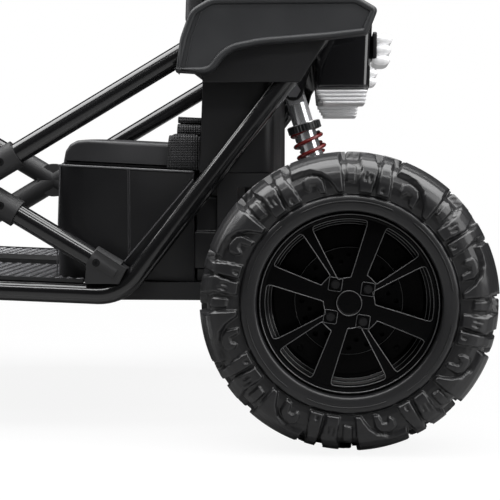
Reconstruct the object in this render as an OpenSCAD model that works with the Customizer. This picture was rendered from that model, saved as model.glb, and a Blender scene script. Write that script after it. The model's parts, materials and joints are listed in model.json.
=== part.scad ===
// Electric off-road go kart for a child, with a bench seat, tubular side frames and rear shock absorbers.
// Forward is -X, left is -Y, up is +Z. The ground is z = 0 and x = 0 is midway between the axles.

/* [Wheels] */
// Outside diameter of the tyres
tyre_d = 330; // [320:2:340]
// Width of the tyres
tyre_w = 130; // [120:2:136]
// Height of the tread lugs over the carcass
lug_h = 9; // [6:0.5:12]
// Number of lugs round one tyre
lug_count = 24; // [16:4:32]
// Diameter of the rim where the tyre sits
rim_d = 200; // [190:2:206]
// Radial thickness of the rim's barrel at its mouth
rim_lip = 8; // [6:0.5:10]
// Distance from the wheel's middle plane out to the spoke faces
spoke_face = 41; // [38:1:46]
// Thickness of the spokes
spoke_t = 13; // [10:1:16]
// Diameter of the four wheel bolts' circle
bolt_circle = 50.6; // [48:0.2:54]
// Thread diameter of the wheel bolts
wheel_bolt_d = 6; // [5:0.5:7]
// Diameter of the axles and stub axles
axle_d = 20; // [18:1:22]

/* [Layout] */
// Distance between the front and rear axles
wheelbase = 900; // [890:2:920]
// Distance between the middles of the left and right tyres
track = 728; // [724:1:740]
// Distance between the middles of the two side frames
frame_w = 560; // [554:1:562]

/* [Side frames] */
// Outside diameter of the frame tubes
tube_d = 25; // [23:0.5:26]
// Wall thickness of the frame tubes
tube_wall = 2; // [1.5:0.1:3]
// Height of the bottom rails' middle at x = 0
rail_z = 168.8; // [166:0.2:172]
// Fall of the bottom rails and the floor towards the rear, in degrees
rake = 2.1; // [1.5:0.1:2.5]
// Distance from x = 0 to the corners of the bottom rails
corner_x = 183; // [178:1:188]
// Slope of the end tubes, in degrees
slope = 52.3; // [51:0.1:54]
// Centre line radius of the tube bends
bend_r = 56; // [50:1:60]
// Height where the rear slope bends up into the seat hoop
hoop_bend_z = 480; // [474:1:490]
// Backward lean of the seat hoop's legs from upright, in degrees
hoop_lean = 10; // [6:1:12]
// Height of the seat hoop's top tube
hoop_z = 640; // [620:5:660]
// Height of the middle of the side X
brace_z = 293.3; // [288:0.5:298]
// Height of the upper rails behind the side pods
upper_z = 454; // [450:0.5:460]
// Outside diameter of the X joint's sleeves
sleeve_d = 33.4; // [32:0.2:36]
// Length of a sleeve from the middle of the X
sleeve_l = 70; // [64:1:78]
// Distance of the sleeve screws from the middle of the X
sleeve_screw = 50; // [45:1:56]
// Shank diameter of the joint screws
screw_d = 5; // [4:0.5:6]

/* [Floor and chassis] */
// Thickness of the floor pan
floor_t = 2.5; // [2:0.5:4]
// Front end of the floor pan, ahead of x = 0
floor_front = 375; // [365:1:378]
// Side of the square chassis rails
beam = 21; // [19:0.5:23]
// Side of the front axle beam
axle_beam = 30; // [28:1:34]
// Distance from the middle plane to a kingpin
kingpin_y = 240; // [236:1:244]
// Diameter of the kingpins and pivot shaft
pin_d = 12; // [10:0.5:14]

/* [Rear suspension] */
// Length of the swing arm from its pivot to the axle
arm_l = 140; // [135:1:145]
// Distance from the middle plane to a shock absorber
shock_y = 245; // [243:0.5:246]
// Length of a shock absorber between its eyes
shock_l = 210; // [205:1:214]
// Lean of the shock absorbers, down to the rear, in degrees
shock_lean = 17; // [16:0.5:18]
// Height of the upper shock eye
shock_top_z = 403.4; // [400:0.5:406]
// Diameter of the shock's damper tube
damper_d = 25; // [23:0.5:26]
// Diameter of the shock's rod
rod_d = 12; // [10:0.5:14]
// Outside diameter of the shock spring
spring_d = 38.5; // [37:0.5:40]
// Wire diameter of the shock spring
spring_wire = 4.5; // [4:0.1:5]
// Number of coils of the shock spring
spring_coils = 9; // [7:1:9]

/* [Seat] */
// Width of the seat cushions
seat_w = 490; // [480:2:500]
// Height of the seat box's front edge
seat_box_z = 316; // [312:1:320]
// Depth of the seat box, from its front to the back box
seat_box_l = 158; // [154:1:160]
// Width of the seat box
seat_box_w = 510; // [504:2:514]
// Thickness of the seat cushion
cushion_t = 31; // [28:1:36]
// Height of the top of the back box
back_z = 600; // [590:5:612]
// Depth of the back box
back_l = 86; // [80:1:90]
// Width of the belt webbing
belt_w = 40; // [34:1:42]

/* [Body] */
// Wall thickness of the plastic shells
shell_t = 3; // [2.5:0.5:4]
// Thickness of a side pod
pod_t = 12; // [10:1:14]
// Width of the front cowl
cowl_w = 410; // [400:2:420]
// Width of the tail shell
tail_w = 520; // [510:2:526]

/* [Steering] */
// Slope of the steering column, in degrees
column_slope = 42.7; // [41:0.1:45]
// Length of the steering column from the pitman arm to the wheel
column_l = 401; // [395:1:410]
// Diameter of the steering wheel
wheel_d = 250; // [240:2:260]
// Diameter of the steering wheel's grip
grip_d = 22; // [20:1:25]
// Length of the pitman arm
pitman_r = 27; // [26:0.5:28]
// Length of the steering arms on the knuckles
steer_arm = 45; // [43:0.5:46]

/* [Hidden] */
$fn = 48;

fit = 0.05;
gap = 0.3;
seam = 0.2;
bend_swell = 0.1;
bend_overlap = 1;
axle_z = tyre_d / 2;
axle_x = wheelbase / 2;
side_y = frame_w / 2;
tube_r = tube_d / 2;
wheel_y = track / 2;
pin_r = pin_d / 2;
axle_r = axle_d / 2;
rim_r = rim_d / 2;

// Middle line of the bottom rail and of the two slopes, in the side view
function rail_at(x) = rail_z - x * tan(rake);
function slope_rear_x(z) = corner_x + (z - rail_at(corner_x)) / tan(slope);
function slope_front_x(z) = -corner_x - (z - rail_at(-corner_x)) / tan(slope);

// Side X: its lower arms aim just over the rail's corners and its upper arms end at the upper rails
boot_aim = 22.5;
brace_angle = atan((brace_z - rail_at(corner_x) - boot_aim) / corner_x);
elbow_x = (upper_z - brace_z) / tan(brace_angle);
sleeve_stop = 25;
boot_start = 172;

// Side frame path, from the front top, along the rail and up to the hoop
front_top_z = upper_z + 20;
leg_x = slope_rear_x(hoop_bend_z);
hoop_joint_z = hoop_z - 90;
SIDE_PATH = [
    [slope_front_x(front_top_z), front_top_z],
    [-corner_x, rail_at(-corner_x)],
    [corner_x, rail_at(corner_x)],
    [leg_x, hoop_bend_z],
    [leg_x + (hoop_joint_z - hoop_bend_z) * tan(hoop_lean), hoop_joint_z]
];
hoop_top_x = leg_x + (hoop_z - hoop_bend_z) * tan(hoop_lean);

// Cross tubes
floor_cross_x = 150;
rear_cross_z = 440;
rear_cross_x = slope_rear_x(rear_cross_z);
front_cross_x = slope_front_x(upper_z);
dash_tube_x = -(elbow_x - 18);

// Floor pan, in a frame that falls with the rails
floor_over = tube_r + gap;
floor_top = floor_over + floor_t;
floor_edge = side_y + 5;
floor_nose_w = 340;
floor_rear = corner_x - 45;
floor_wide_x = corner_x - 35;
floor_neck_x = corner_x + 52;
spine_w = 90;
spine_h = 6;
lip_h = 1.5;

// Chassis rails and axle beam
front_rail_y = 180;
rear_rail_y = 254;
rear_rail_z = axle_z;
pivot_x = axle_x - arm_l;
rear_rail_end = pivot_x + 15;
ear_t = 6;
barrel_h = 51;
knuckle_r = 15;

// Seat
seat_front_x = 110;
seat_rear_x = seat_front_x + seat_box_l;
seat_fall = 8;
seat_nose_r = 40;
strip_w = 9;
back_x = 277;
back_seat_z = 306;
back_lean = 3.6;
plank_t = 16.5;
cushion_l = 162;

// Steering
function column_dir() = [cos(column_slope), 0, sin(column_slope)];
function column_side() = [sin(column_slope), 0, -cos(column_slope)];
tie_x = -axle_x + steer_arm;
tie_z = axle_z + 40;
tie_d = 10;
tie_pin_d = 8;
column_foot = [tie_x, 0, tie_z] - pitman_r * column_side();
steering_at = column_foot + column_l * column_dir();
column_d = 20;
column_over = 6;
tie_boss_h = 12;
pitman_s = tie_boss_h / 2 + 1;
pitman_t = 8;
bracket_s = 258;
grip_r = wheel_d / 2 - grip_d / 2;
wheel_hub_h = 12;
horn_seat = wheel_hub_h - 5;
horn_r = 20;
horn_travel = 2;

// Shock absorbers, along their own line from the upper eye
shock_lower = [pivot_x + 137, axle_z + 37.6];
shock_upper = shock_lower + shock_l * [-sin(shock_lean), cos(shock_lean)];
eye_w = 16;
eye_r = 13;
shock_pin_d = 10;
bush_slack = 1.8;
collar_s = 44;
collar_h = 7;
collar_d = 38;
spring_s0 = collar_s + collar_h / 2 + gap;
damper_end = 122;
rod_top = 80;
seat_s = 178;
seat_h = 6;
spring_s1 = seat_s - seat_h - gap;
spring_len = spring_s1 - spring_s0;
spring_r = (spring_d - spring_wire) / 2;
spring_steps = 8;

// Body
panel_y = side_y + tube_r + gap;
pod_y = panel_y + shell_t + gap;
tail_x0 = rear_cross_x + tube_r + gap;
tail_x1 = 480;
tail_z0 = 405.5;
tail_z1 = 505;
cowl_over = upper_z + tube_r + gap;
bumper_x = axle_x + tyre_d / 2 - tube_r;

// General shapes

module both_sides() {
    children();
    mirror([0, 1, 0]) children();
}

// Puts +Z of the children along the direction v
module aim(v) {
    length = norm(v);
    rotate([0, acos(v[2] / length), atan2(v[1], v[0])]) children();
}

module rod(a, b, d) {
    translate(a) aim(b - a) cylinder(h = norm(b - a), d = d);
}

module tube(a, b, d = tube_d, wall = tube_wall) {
    translate(a) aim(b - a) difference() {
        cylinder(h = norm(b - a), d = d);
        translate([0, 0, -1]) cylinder(h = norm(b - a) + 2, d = d - 2 * wall);
    }
}

function unit(v) = v / norm(v);

// A bend of one tube at the corner, between the incoming and outgoing directions
module tube_bend(corner, u, v, r, d, wall) {
    turn = acos(u * v);
    n = unit(cross(u, v));
    m = cross(n, u);
    start = corner - r * tan(turn / 2) * u;
    centre = start + r * m;
    multmatrix([
        [-m[0], u[0], n[0], centre[0]],
        [-m[1], u[1], n[1], centre[1]],
        [-m[2], u[2], n[2], centre[2]],
        [0, 0, 0, 1]
    ]) rotate_extrude(angle = turn) translate([r, 0]) difference() {
        circle(d = d + 2 * bend_swell);
        if (wall > 0) circle(d = d - 2 * wall - 2 * bend_swell);
    }
}

// A bent tube through the points of path. Each bend is a little thicker than the straights that end inside it.
module bent_tube(path, r = bend_r, d = tube_d, wall = tube_wall) {
    last = len(path) - 1;
    trim = [for (i = [0:last]) i == 0 || i == last ? 0
        : r * tan(acos(unit(path[i] - path[i - 1]) * unit(path[i + 1] - path[i])) / 2)];
    for (i = [0:last - 1]) {
        u = unit(path[i + 1] - path[i]);
        a = path[i] + (i == 0 ? 0 : trim[i] - bend_overlap) * u;
        b = path[i + 1] - (i + 1 == last ? 0 : trim[i + 1] - bend_overlap) * u;
        if (wall > 0) tube(a, b, d, wall);
        else rod(a, b, d);
    }
    for (i = [1:last - 1])
        tube_bend(path[i], unit(path[i] - path[i - 1]), unit(path[i + 1] - path[i]), r, d, wall);
}

// A plate of outline points in the side view (x, z), from y0 to y1
module side_plate(points, y0, y1) {
    translate([0, y1, 0]) rotate([90, 0, 0]) linear_extrude(y1 - y0) polygon(points);
}

module box(low, high) {
    translate(low) cube(high - low);
}

// A round bar across the kart
module cross_rod(x, z, y0, y1, d) {
    translate([x, y1, z]) rotate([90, 0, 0]) cylinder(h = y1 - y0, d = d);
}

// Frame

function side_points(y) = [for (p = SIDE_PATH) [p[0], y, p[1]]];

module side_solid(y, d) {
    bent_tube(side_points(y), d = d, wall = 0);
}

module side_tube(y) {
    color("black") bent_tube(side_points(y));
}

// Cross tube between the side frames, coped to them
module coped_cross(x, z) {
    difference() {
        tube([x, -side_y, z], [x, side_y, z]);
        both_sides() side_solid(-side_y, tube_d + 2 * seam);
    }
}

// Cross tube that ends flat beside the side frames, where the upper rails meet the slopes
module butted_cross(x, z) {
    y = side_y - tube_r - seam;
    tube([x, -y, z], [x, y, z]);
}

shock_ear_y = eye_w / 2 + gap;
shock_ear_t = 4;

module upper_shock_ears() {
    for (s = [-1, 1])
        difference() {
            hull() {
                cross_rod(shock_upper[0], shock_upper[1], ear_low(s), ear_low(s) + shock_ear_t, 24);
                cross_rod(rear_cross_x, rear_cross_z, ear_low(s), ear_low(s) + shock_ear_t, 20);
            }
            cross_rod(shock_upper[0], shock_upper[1], -300, -200, shock_pin_d + 2 * fit);
            cross_rod(rear_cross_x, rear_cross_z, -300, -200, tube_d - 2 * tube_wall);
        }
}

function ear_low(s) = -shock_y + (s > 0 ? shock_ear_y : -shock_ear_y - shock_ear_t);

module cross_tubes() {
    color("black") {
        for (x = [-floor_cross_x, floor_cross_x])
            coped_cross(x, rail_at(x));
        butted_cross(rear_cross_x, rear_cross_z);
        both_sides() upper_shock_ears();
        butted_cross(front_cross_x, upper_z);
        butted_cross(dash_tube_x, upper_z);
        column_bracket();
    }
}

// Bush housing that holds the steering column under the dash tube
module column_bracket() {
    at = column_foot + bracket_s * column_dir();
    difference() {
        union() {
            translate(at) aim(column_dir()) translate([0, 0, -15]) cylinder(h = 30, d = 34);
            side_plate([[at[0] - 10, at[2] + 4], [at[0] + 12, at[2] + 4],
                [dash_tube_x + 10, upper_z - 4], [dash_tube_x - 10, upper_z - 4]], -6, 6);
        }
        translate(at) aim(column_dir()) translate([0, 0, -60]) cylinder(h = 120, d = column_d + 2 * fit);
        translate(at) aim(column_dir()) translate([0, 0, 15]) cylinder(h = 12, d = column_d + 12);
        cross_rod(dash_tube_x, upper_z, -20, 20, tube_d - 2 * tube_wall);
    }
}

// One arm of the left X, as the direction signs along x and z
function arm_dir(sx, sz) = [sx * cos(brace_angle), 0, sz * sin(brace_angle)];
function brace_mid() = [0, -side_y, brace_z];
boot_end = norm([corner_x, brace_z - rail_at(corner_x) - boot_aim]) - 6;

module brace_arms() {
    difference() {
        for (sx = [-1, 1]) {
            elbow = [sx * elbow_x, -side_y, upper_z];
            top_x = sx > 0 ? slope_rear_x(upper_z) : slope_front_x(upper_z);
            bent_tube([brace_mid() + sleeve_stop * arm_dir(sx, 1), elbow, [top_x, -side_y, upper_z]]);
            tube(brace_mid() + sleeve_stop * arm_dir(sx, -1), brace_mid() + boot_end * arm_dir(sx, -1));
        }
        side_solid(-side_y, tube_d + 2 * seam);
        screw_holes(screw_d + 2 * fit);
        floor_space();
    }
}

module brace_tubes() {
    color("black") both_sides() brace_arms();
}

// Holes from the outer face into the arms, at the X joint and at the boots
module screw_holes(d) {
    for (sx = [-1, 1], sz = [-1, 1])
        translate(brace_mid() + sleeve_screw * arm_dir(sx, sz))
            rotate([90, 0, 0]) cylinder(h = sleeve_d, d = d);
    for (sx = [-1, 1])
        translate(brace_mid() + boot_screw * arm_dir(sx, -1))
            rotate([90, 0, 0]) cylinder(h = sleeve_d, d = d);
}

boot_screw = boot_start + 9;
screw_head_d = 9;
screw_head_h = 3;

module brace_joint() {
    difference() {
        union() {
            for (sx = [-1, 1], sz = [-1, 1])
                rod(brace_mid(), brace_mid() + sleeve_l * arm_dir(sx, sz), sleeve_d);
            translate(brace_mid()) rotate([90, 0, 0])
                cylinder(h = sleeve_d - 6, d = sleeve_d + 18, center = true);
        }
        for (sx = [-1, 1], sz = [-1, 1])
            rod(brace_mid() + (sleeve_stop - seam) * arm_dir(sx, sz),
                brace_mid() + (sleeve_l + 1) * arm_dir(sx, sz), tube_d + 2 * seam);
        screw_holes(screw_d + 2 * fit);
        head_pockets(sleeve_screw, [-1, 1]);
    }
}

module head_pockets(s, rows) {
    for (sx = [-1, 1], sz = rows)
        translate(brace_mid() + s * arm_dir(sx, sz) - [0, sleeve_d / 2 - screw_head_h + 0.5, 0])
            rotate([90, 0, 0]) cylinder(h = sleeve_d, d = screw_head_d + 2 * seam);
}

module brace_joints() {
    color("dimgray") both_sides() brace_joint();
}

module joint_screw(at) {
    translate(at - [0, sleeve_d / 2 - screw_head_h + 0.5, 0]) rotate([90, 0, 0]) difference() {
        cylinder(h = screw_head_h - 0.5, d = screw_head_d);
        translate([0, 0, 1]) cylinder(h = screw_head_h, d = 4, $fn = 6);
    }
    translate(at - [0, sleeve_d / 2 - screw_head_h + 0.5, 0])
        rotate([-90, 0, 0]) cylinder(h = 9, d = screw_d);
}

module joint_screws() {
    color("silver") both_sides() {
        for (sx = [-1, 1], sz = [-1, 1])
            joint_screw(brace_mid() + sleeve_screw * arm_dir(sx, sz));
        for (sx = [-1, 1])
            joint_screw(brace_mid() + boot_screw * arm_dir(sx, -1));
    }
}

// Plastic saddle that seats a lower arm on the rail's corner
module corner_boot(sx) {
    x0 = corner_x - 41;
    difference() {
        union() {
            rod(brace_mid() + boot_start * arm_dir(sx, -1), brace_mid() + boot_end * arm_dir(sx, -1), sleeve_d);
            side_plate([
                [sx * (x0 + 2), rail_at(sx * x0) + tube_r + 24],
                [sx * (x0 + 14), rail_at(sx * x0) + tube_r + 40],
                [sx * (corner_x + 8), rail_at(sx * corner_x) + tube_r + 19],
                [sx * (corner_x - 8), rail_at(sx * corner_x)],
                [sx * x0, rail_at(sx * x0) + tube_r + gap]
            ], -side_y - sleeve_d / 2 + 1.5, -side_y + sleeve_d / 2 - 1.5);
        }
        side_solid(-side_y, tube_d + 2 * gap);
        rod(brace_mid(), brace_mid() + (boot_end + 1) * arm_dir(sx, -1), tube_d + 2 * seam);
        screw_holes(screw_d + 2 * fit);
        head_pockets(boot_screw, [-1]);
        cross_rod(sx * floor_cross_x, rail_at(sx * floor_cross_x), -side_y, 0, tube_d + 2 * gap);
        floor_space();
    }
}

module corner_boots() {
    color("dimgray") both_sides() for (sx = [-1, 1]) corner_boot(sx);
}

module seat_hoop_path(wall) {
    x0 = SIDE_PATH[4][0] + seam * sin(hoop_lean);
    z0 = SIDE_PATH[4][1] + seam * cos(hoop_lean);
    bent_tube([[x0, -side_y, z0], [hoop_top_x, -side_y, hoop_z],
        [hoop_top_x, side_y, hoop_z], [x0, side_y, z0]], wall = wall);
}

module back_hoop() {
    color("black") seat_hoop_path(tube_wall);
}

// Floor and chassis

module in_floor_frame() {
    translate([0, 0, rail_z]) rotate([0, rake, 0]) children();
}

module floor_outline(inset) {
    polygon([
        [-floor_front + inset, -floor_nose_w / 2 + inset], [-floor_neck_x + inset, -floor_nose_w / 2 + inset],
        [-floor_wide_x + inset, -floor_edge + inset], [floor_rear - inset, -floor_edge + inset],
        [floor_rear - inset, floor_edge - inset], [-floor_wide_x + inset, floor_edge - inset],
        [-floor_neck_x + inset, floor_nose_w / 2 - inset], [-floor_front + inset, floor_nose_w / 2 - inset]
    ]);
}

// Ears and pin that carry the pedal
module pedal_ears() {
    for (s = [-1, 1]) hull() {
        cross_rod(pedal_x, pedal_z, pedal_y + s * pedal_ear_y - 2, pedal_y + s * pedal_ear_y + 2, 18);
        translate([pedal_x - 12, pedal_y + s * pedal_ear_y - 2, rail_at(pedal_x) + floor_top - 1.2]) cube([24, 4, 0.6]);
    }
    cross_rod(pedal_x, pedal_z, pedal_y - pedal_ear_y, pedal_y + pedal_ear_y, pedal_pin_d);
}

module floor_pan() {
    color("black") {
        pedal_ears();
        floor_plate();
    }
}

module floor_plate() {
    in_floor_frame() difference() {
        union() {
            translate([0, 0, floor_over]) linear_extrude(floor_t + lip_h) floor_outline(0);
            translate([-floor_front, -spine_w / 2, floor_over]) cube([floor_front + 90, spine_w, floor_t + spine_h]);
        }
        difference() {
            translate([0, 0, floor_top]) linear_extrude(floor_t + lip_h) {
                floor_outline(4);
                translate([0, 4 - floor_edge]) square([floor_rear + 1, 2 * floor_edge - 8]);
            }
            translate([-floor_front, -spine_w / 2, 0]) cube([floor_front + 90, spine_w, 50]);
        }
        translate([-floor_front + 4, -spine_w / 2 + 3, 0]) cube([floor_front + 82, spine_w - 6, floor_over + spine_h]);
    }
}

// The floor pan's own space and a gap over it, cut from what stands beside it
module floor_space() {
    in_floor_frame() translate([0, 0, floor_over - 6])
        linear_extrude(floor_t + lip_h + 6 + gap) floor_outline(-gap);
}

module chassis_beam(x0, x1, y, z) {
    box([x0, y - beam / 2, z - beam / 2], [x1, y + beam / 2, z + beam / 2]);
}

module front_chassis() {
    color("black") difference() {
        union() {
            both_sides() {
                in_floor_frame() difference() {
                    chassis_beam(-axle_x, -floor_cross_x, -front_rail_y, floor_over - gap - beam / 2);
                    chassis_beam_bore(-axle_x - 1, -floor_cross_x + 1, -front_rail_y, floor_over - gap - beam / 2);
                }
                for (s = [-1, 1]) yoke_ear(s);
                box([-axle_x - axle_beam / 2, -kingpin_y + knuckle_r + 4, axle_z - barrel_h / 2 - ear_t - gap],
                    [-axle_x + axle_beam / 2, -kingpin_y + knuckle_r + 10, axle_z + barrel_h / 2 + ear_t + gap]);
            }
            box([-axle_x - axle_beam / 2, -kingpin_y + knuckle_r + 4, axle_z - axle_beam / 2],
                [-axle_x + axle_beam / 2, kingpin_y - knuckle_r - 4, axle_z + axle_beam / 2]);
        }
        cross_rod(-floor_cross_x, rail_at(-floor_cross_x), -side_y, side_y, tube_d + 2 * seam);
        both_sides() translate([-axle_x, -kingpin_y, 0]) cylinder(h = 2 * axle_z, r = pin_r + fit);
    }
}

module chassis_beam_bore(x0, x1, y, z) {
    w = beam / 2 - tube_wall;
    box([x0, y - w, z - w], [x1, y + w, z + w]);
}

module yoke_ear(s) {
    z = axle_z + s * (barrel_h / 2 + gap + ear_t / 2);
    hull() {
        translate([-axle_x, -kingpin_y, z]) cylinder(h = ear_t, r = knuckle_r, center = true, $fn = 32);
        translate([-axle_x, -kingpin_y + knuckle_r + 7, z]) cube([axle_beam, 6, ear_t], center = true);
    }
}

module rear_chassis() {
    low = rear_rail_z - beam / 2;
    color("black") difference() {
        union() {
            both_sides() {
                difference() {
                    chassis_beam(floor_cross_x, rear_rail_end, -rear_rail_y, rear_rail_z);
                    chassis_beam_bore(floor_cross_x - 1, rear_rail_end + 1, -rear_rail_y, rear_rail_z);
                }
                tube([pivot_x, -rear_rail_y - beam / 2, rear_rail_z],
                    [pivot_x, -rear_rail_y + beam / 2, rear_rail_z], 22, (22 - pin_d) / 2 - fit);
                box([pivot_x - 14, -rear_rail_y - beam / 2, rear_rail_z + beam / 2],
                    [pivot_x + 10, -rear_rail_y - beam / 2 + 5, back_seat_z - plank_t - gap]);
                box([pivot_x - 14, -rear_rail_y - beam / 2, back_seat_z - plank_t - gap - 5],
                    [pivot_x + 10, -rear_rail_y + beam / 2 + 20, back_seat_z - plank_t - gap]);
            }
            box([pivot_x - 12, -rear_rail_y - beam / 2, back_seat_z - plank_t - gap],
                [back_x + back_l - 5, rear_rail_y + beam / 2, back_seat_z - gap]);
        }
        cross_rod(floor_cross_x, rail_at(floor_cross_x), -side_y, side_y, tube_d + 2 * seam);
        both_sides() side_solid(-side_y, tube_d + 2 * seam);
        cross_rod(pivot_x, rear_rail_z, -side_y, side_y, pin_d + 2 * fit);
    }
}

// A bolt across the kart, with its head at y0 and its nut at y1
module pivot_bolt(x, z, y0, y1, d) {
    cross_rod(x, z, y0, y1, d);
    translate([x, y0, z]) rotate([90, 0, 0]) cylinder(h = d * 0.6, d = d * 1.8, $fn = 6);
    translate([x, y1 + d * 0.6, z]) rotate([90, 0, 0]) cylinder(h = d * 0.6, d = d * 1.8, $fn = 6);
}

module pivot_bolts() {
    ears = barrel_h / 2 + gap + ear_t;
    shock_out = shock_ear_y + shock_ear_t + seam;
    color("silver") {
        both_sides() {
            translate([-axle_x, -kingpin_y, axle_z - ears - seam]) {
                cylinder(h = 2 * ears + 2 * seam, d = pin_d);
                translate([0, 0, -pin_d * 0.6]) cylinder(h = pin_d * 0.6, d = pin_d * 1.8, $fn = 6);
                translate([0, 0, 2 * ears + 2 * seam]) cylinder(h = pin_d * 0.6, d = pin_d * 1.8, $fn = 6);
            }
            pivot_bolt(shock_upper[0], shock_upper[1], -shock_y - shock_out, -shock_y + shock_out, shock_pin_d);
        }
        pivot_bolt(pivot_x, rear_rail_z, -rear_rail_y - beam / 2 - seam, rear_rail_y + beam / 2 + seam, pin_d);
    }
}

// Seat

// Height of the floor pan's top
function floor_line(x) = rail_at(x) + (floor_top + 0.1) / cos(rake);

// Side outline of the seat box, moved in by d
function seat_side(d) = [
    [seat_front_x - 11 + d, floor_line(seat_front_x - 11) + gap + d],
    [seat_front_x + d, seat_box_z - d],
    [seat_rear_x - d, seat_box_z - seat_fall - d],
    [seat_rear_x - d, rear_rail_z + beam / 2 + gap + d],
    [floor_rear, floor_line(floor_rear) + gap + d]
];

module seat_plan(d) {
    w = seat_box_w / 2 - d;
    r = seat_nose_r - d;
    x0 = seat_front_x - 12 + d;
    hull_free_plan(x0, seat_rear_x - d, w, r);
}

// A plan outline with round front corners, as one rectangle cross and two discs
module hull_free_plan(x0, x1, w, r) {
    translate([x0 + r, -w]) square([x1 - x0 - r, 2 * w]);
    translate([x0, -w + r]) square([x1 - x0, 2 * w - 2 * r]);
    for (s = [-1, 1]) translate([x0 + r, s * (w - r)]) circle(r);
}

module seat_block(d) {
    intersection() {
        side_plate(seat_side(d), -seat_box_w, seat_box_w);
        linear_extrude(seat_box_z + 50) seat_plan(d);
    }
}

module seat_box() {
    color("black") {
        difference() {
            seat_block(0);
            seat_block(shell_t);
        }
        both_sides() seat_strip();
    }
}

// Raised edge strip on the seat box's side, parallel to the rear slope
module seat_strip() {
    z0 = 197;
    x0 = slope_rear_x(z0) - 26;
    z1 = z0 + (seat_rear_x - x0) * tan(slope);
    side_plate([[x0, z0], [x0 + strip_w, z0], [seat_rear_x, z1 - strip_w * tan(slope)], [seat_rear_x, z1]],
        -seat_box_w / 2 - shell_t, -seat_box_w / 2 + 1);
}

// Pillow of half sizes a, b, c round the origin, with square power p and a crown on its top
function spow(v, p) = sign(v) * pow(abs(v), p);
module pillow(a, b, c, crown, p = 0.3, rows = 12, cols = 36) {
    ring = [for (i = [1:rows - 1]) let (t = -90 + 180 * i / rows)
        for (j = [0:cols - 1]) let (
            q = 360 * j / cols,
            w = spow(cos(t), p),
            y = b * w * spow(cos(q), p),
            z = c * spow(w, 0.8) * spow(sin(q), p),
            draw = 1 - 0.03 * (1 - abs(z) / c) )
        [a * spow(sin(t), p) * draw, y * draw, z + (z > 0 ? crown * (1 - pow(y / b, 2)) : 0)]];
    points = concat(ring, [[-a, 0, 0], [a, 0, 0]]);
    south = len(ring);
    polyhedron(points, concat(
        [for (i = [0:rows - 3], j = [0:cols - 1]) let (k = (j + 1) % cols)
            [i * cols + j, i * cols + k, (i + 1) * cols + k]],
        [for (i = [0:rows - 3], j = [0:cols - 1]) let (k = (j + 1) % cols)
            [i * cols + j, (i + 1) * cols + k, (i + 1) * cols + j]],
        [for (j = [0:cols - 1]) [south, (j + 1) % cols, j]],
        [for (j = [0:cols - 1]) [south + 1, (rows - 2) * cols + j, (rows - 2) * cols + (j + 1) % cols]]
    ));
}

seat_tilt = atan(seat_fall / seat_box_l);
cushion_crown = 6;

// Frame on the seat box's top, x to the rear and z up from it
module on_seat() {
    translate([seat_front_x, 0, seat_box_z]) rotate([0, seat_tilt, 0]) children();
}

module seat_cushion() {
    color("#303030") on_seat() translate([cushion_l / 2 + 1, 0, cushion_t / 2 + gap])
        pillow(cushion_l / 2, seat_w / 2, cushion_t / 2, cushion_crown);
}

back_cushion_z0 = 428;
back_cushion_z1 = back_z - 8;
back_cushion_t = 26;

module back_cushion() {
    h = (back_cushion_z1 - back_cushion_z0) / 2;
    z = back_cushion_z0 + h;
    color("#303030") translate([back_x - gap - back_cushion_t / 2 + back_front(z), 0, z])
        rotate([0, back_angle, 0]) rotate([0, -90, 0])
            pillow(h, seat_w / 2, back_cushion_t / 2, cushion_crown - 2);
}

back_angle = atan(back_lean / 99);
function back_front(z) = (z - 313) * tan(back_angle) - 2;

module back_box() {
    color("black") difference() {
        back_block(0);
        translate([0, 0, -shell_t]) back_block(shell_t);
    }
}

module back_block(d) {
    intersection() {
        side_plate([
            [back_x + back_front(back_seat_z) + d, back_seat_z],
            [back_x + back_front(back_z) + d, back_z - d],
            [back_x + back_l - d, back_z - d],
            [back_x + back_l - d, back_seat_z]
        ], -265 + d, 265 - d);
        linear_extrude(back_z + 1) mirror([1, 0]) translate([-back_x - back_l, 0])
            hull_free_plan(d, back_l + 10, 265 - d, 14);
    }
}

belt_t = 2.5;
buckle_z = cushion_crown + cushion_t + 2 * gap;
belt_lift = buckle_z + 1.8;
belt_x = cushion_l - belt_w - 4;
buckle_w = 54;
buckle_h = 12;

// Webbing of the left belt in the seat's frame: up the cushion's side, over its edge and in to the buckle
module lap_belt() {
    side = seat_w / 2 + 3;
    r = 14;
    top = belt_lift;
    translate([belt_x, 0, 0]) rotate([90, 0, 90]) linear_extrude(belt_w) {
        translate([-side - belt_t, gap]) square([belt_t, top - r - gap]);
        translate([-side + r, top - r]) difference() {
            intersection() {
                circle(r + belt_t);
                translate([-r - belt_t, 0]) square(r + belt_t);
            }
            circle(r);
        }
        translate([-side + r, top]) square([side - r - buckle_w / 2 + 8, belt_t]);
    }
}

module lap_belts() {
    color("#202020") on_seat() both_sides() lap_belt();
}

module belt_buckle() {
    color("#181818") on_seat() translate([belt_x - 3, -buckle_w / 2, buckle_z]) difference() {
        cube([belt_w + 6, buckle_w, buckle_h]);
        for (s = [0, 1]) translate([2.5, s * (buckle_w - 9) - 1, belt_lift - buckle_z - gap])
            cube([belt_w + 1, 11, belt_t + 2 * gap]);
    }
}

module battery() {
    z = floor_line(seat_front_x + 20) + gap + shell_t + gap;
    color("dimgray") box([seat_front_x + 20, -120, z], [seat_front_x + 120, 60, z + 95]);
}

module controller_box() {
    color("#151515") {
        box([seat_rear_x + gap, -rear_rail_y - 6, 192], [pivot_x - 14 - gap, -130, 236]);
        box([seat_rear_x + 2, -rear_rail_y, 236], [pivot_x - 14 - gap, -134, 277]);
        box([seat_rear_x + 2, -rear_rail_y + 2, rear_rail_z + beam / 2 + gap], [pivot_x - 24, -140, 192]);
    }
}

// Body panels

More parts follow.
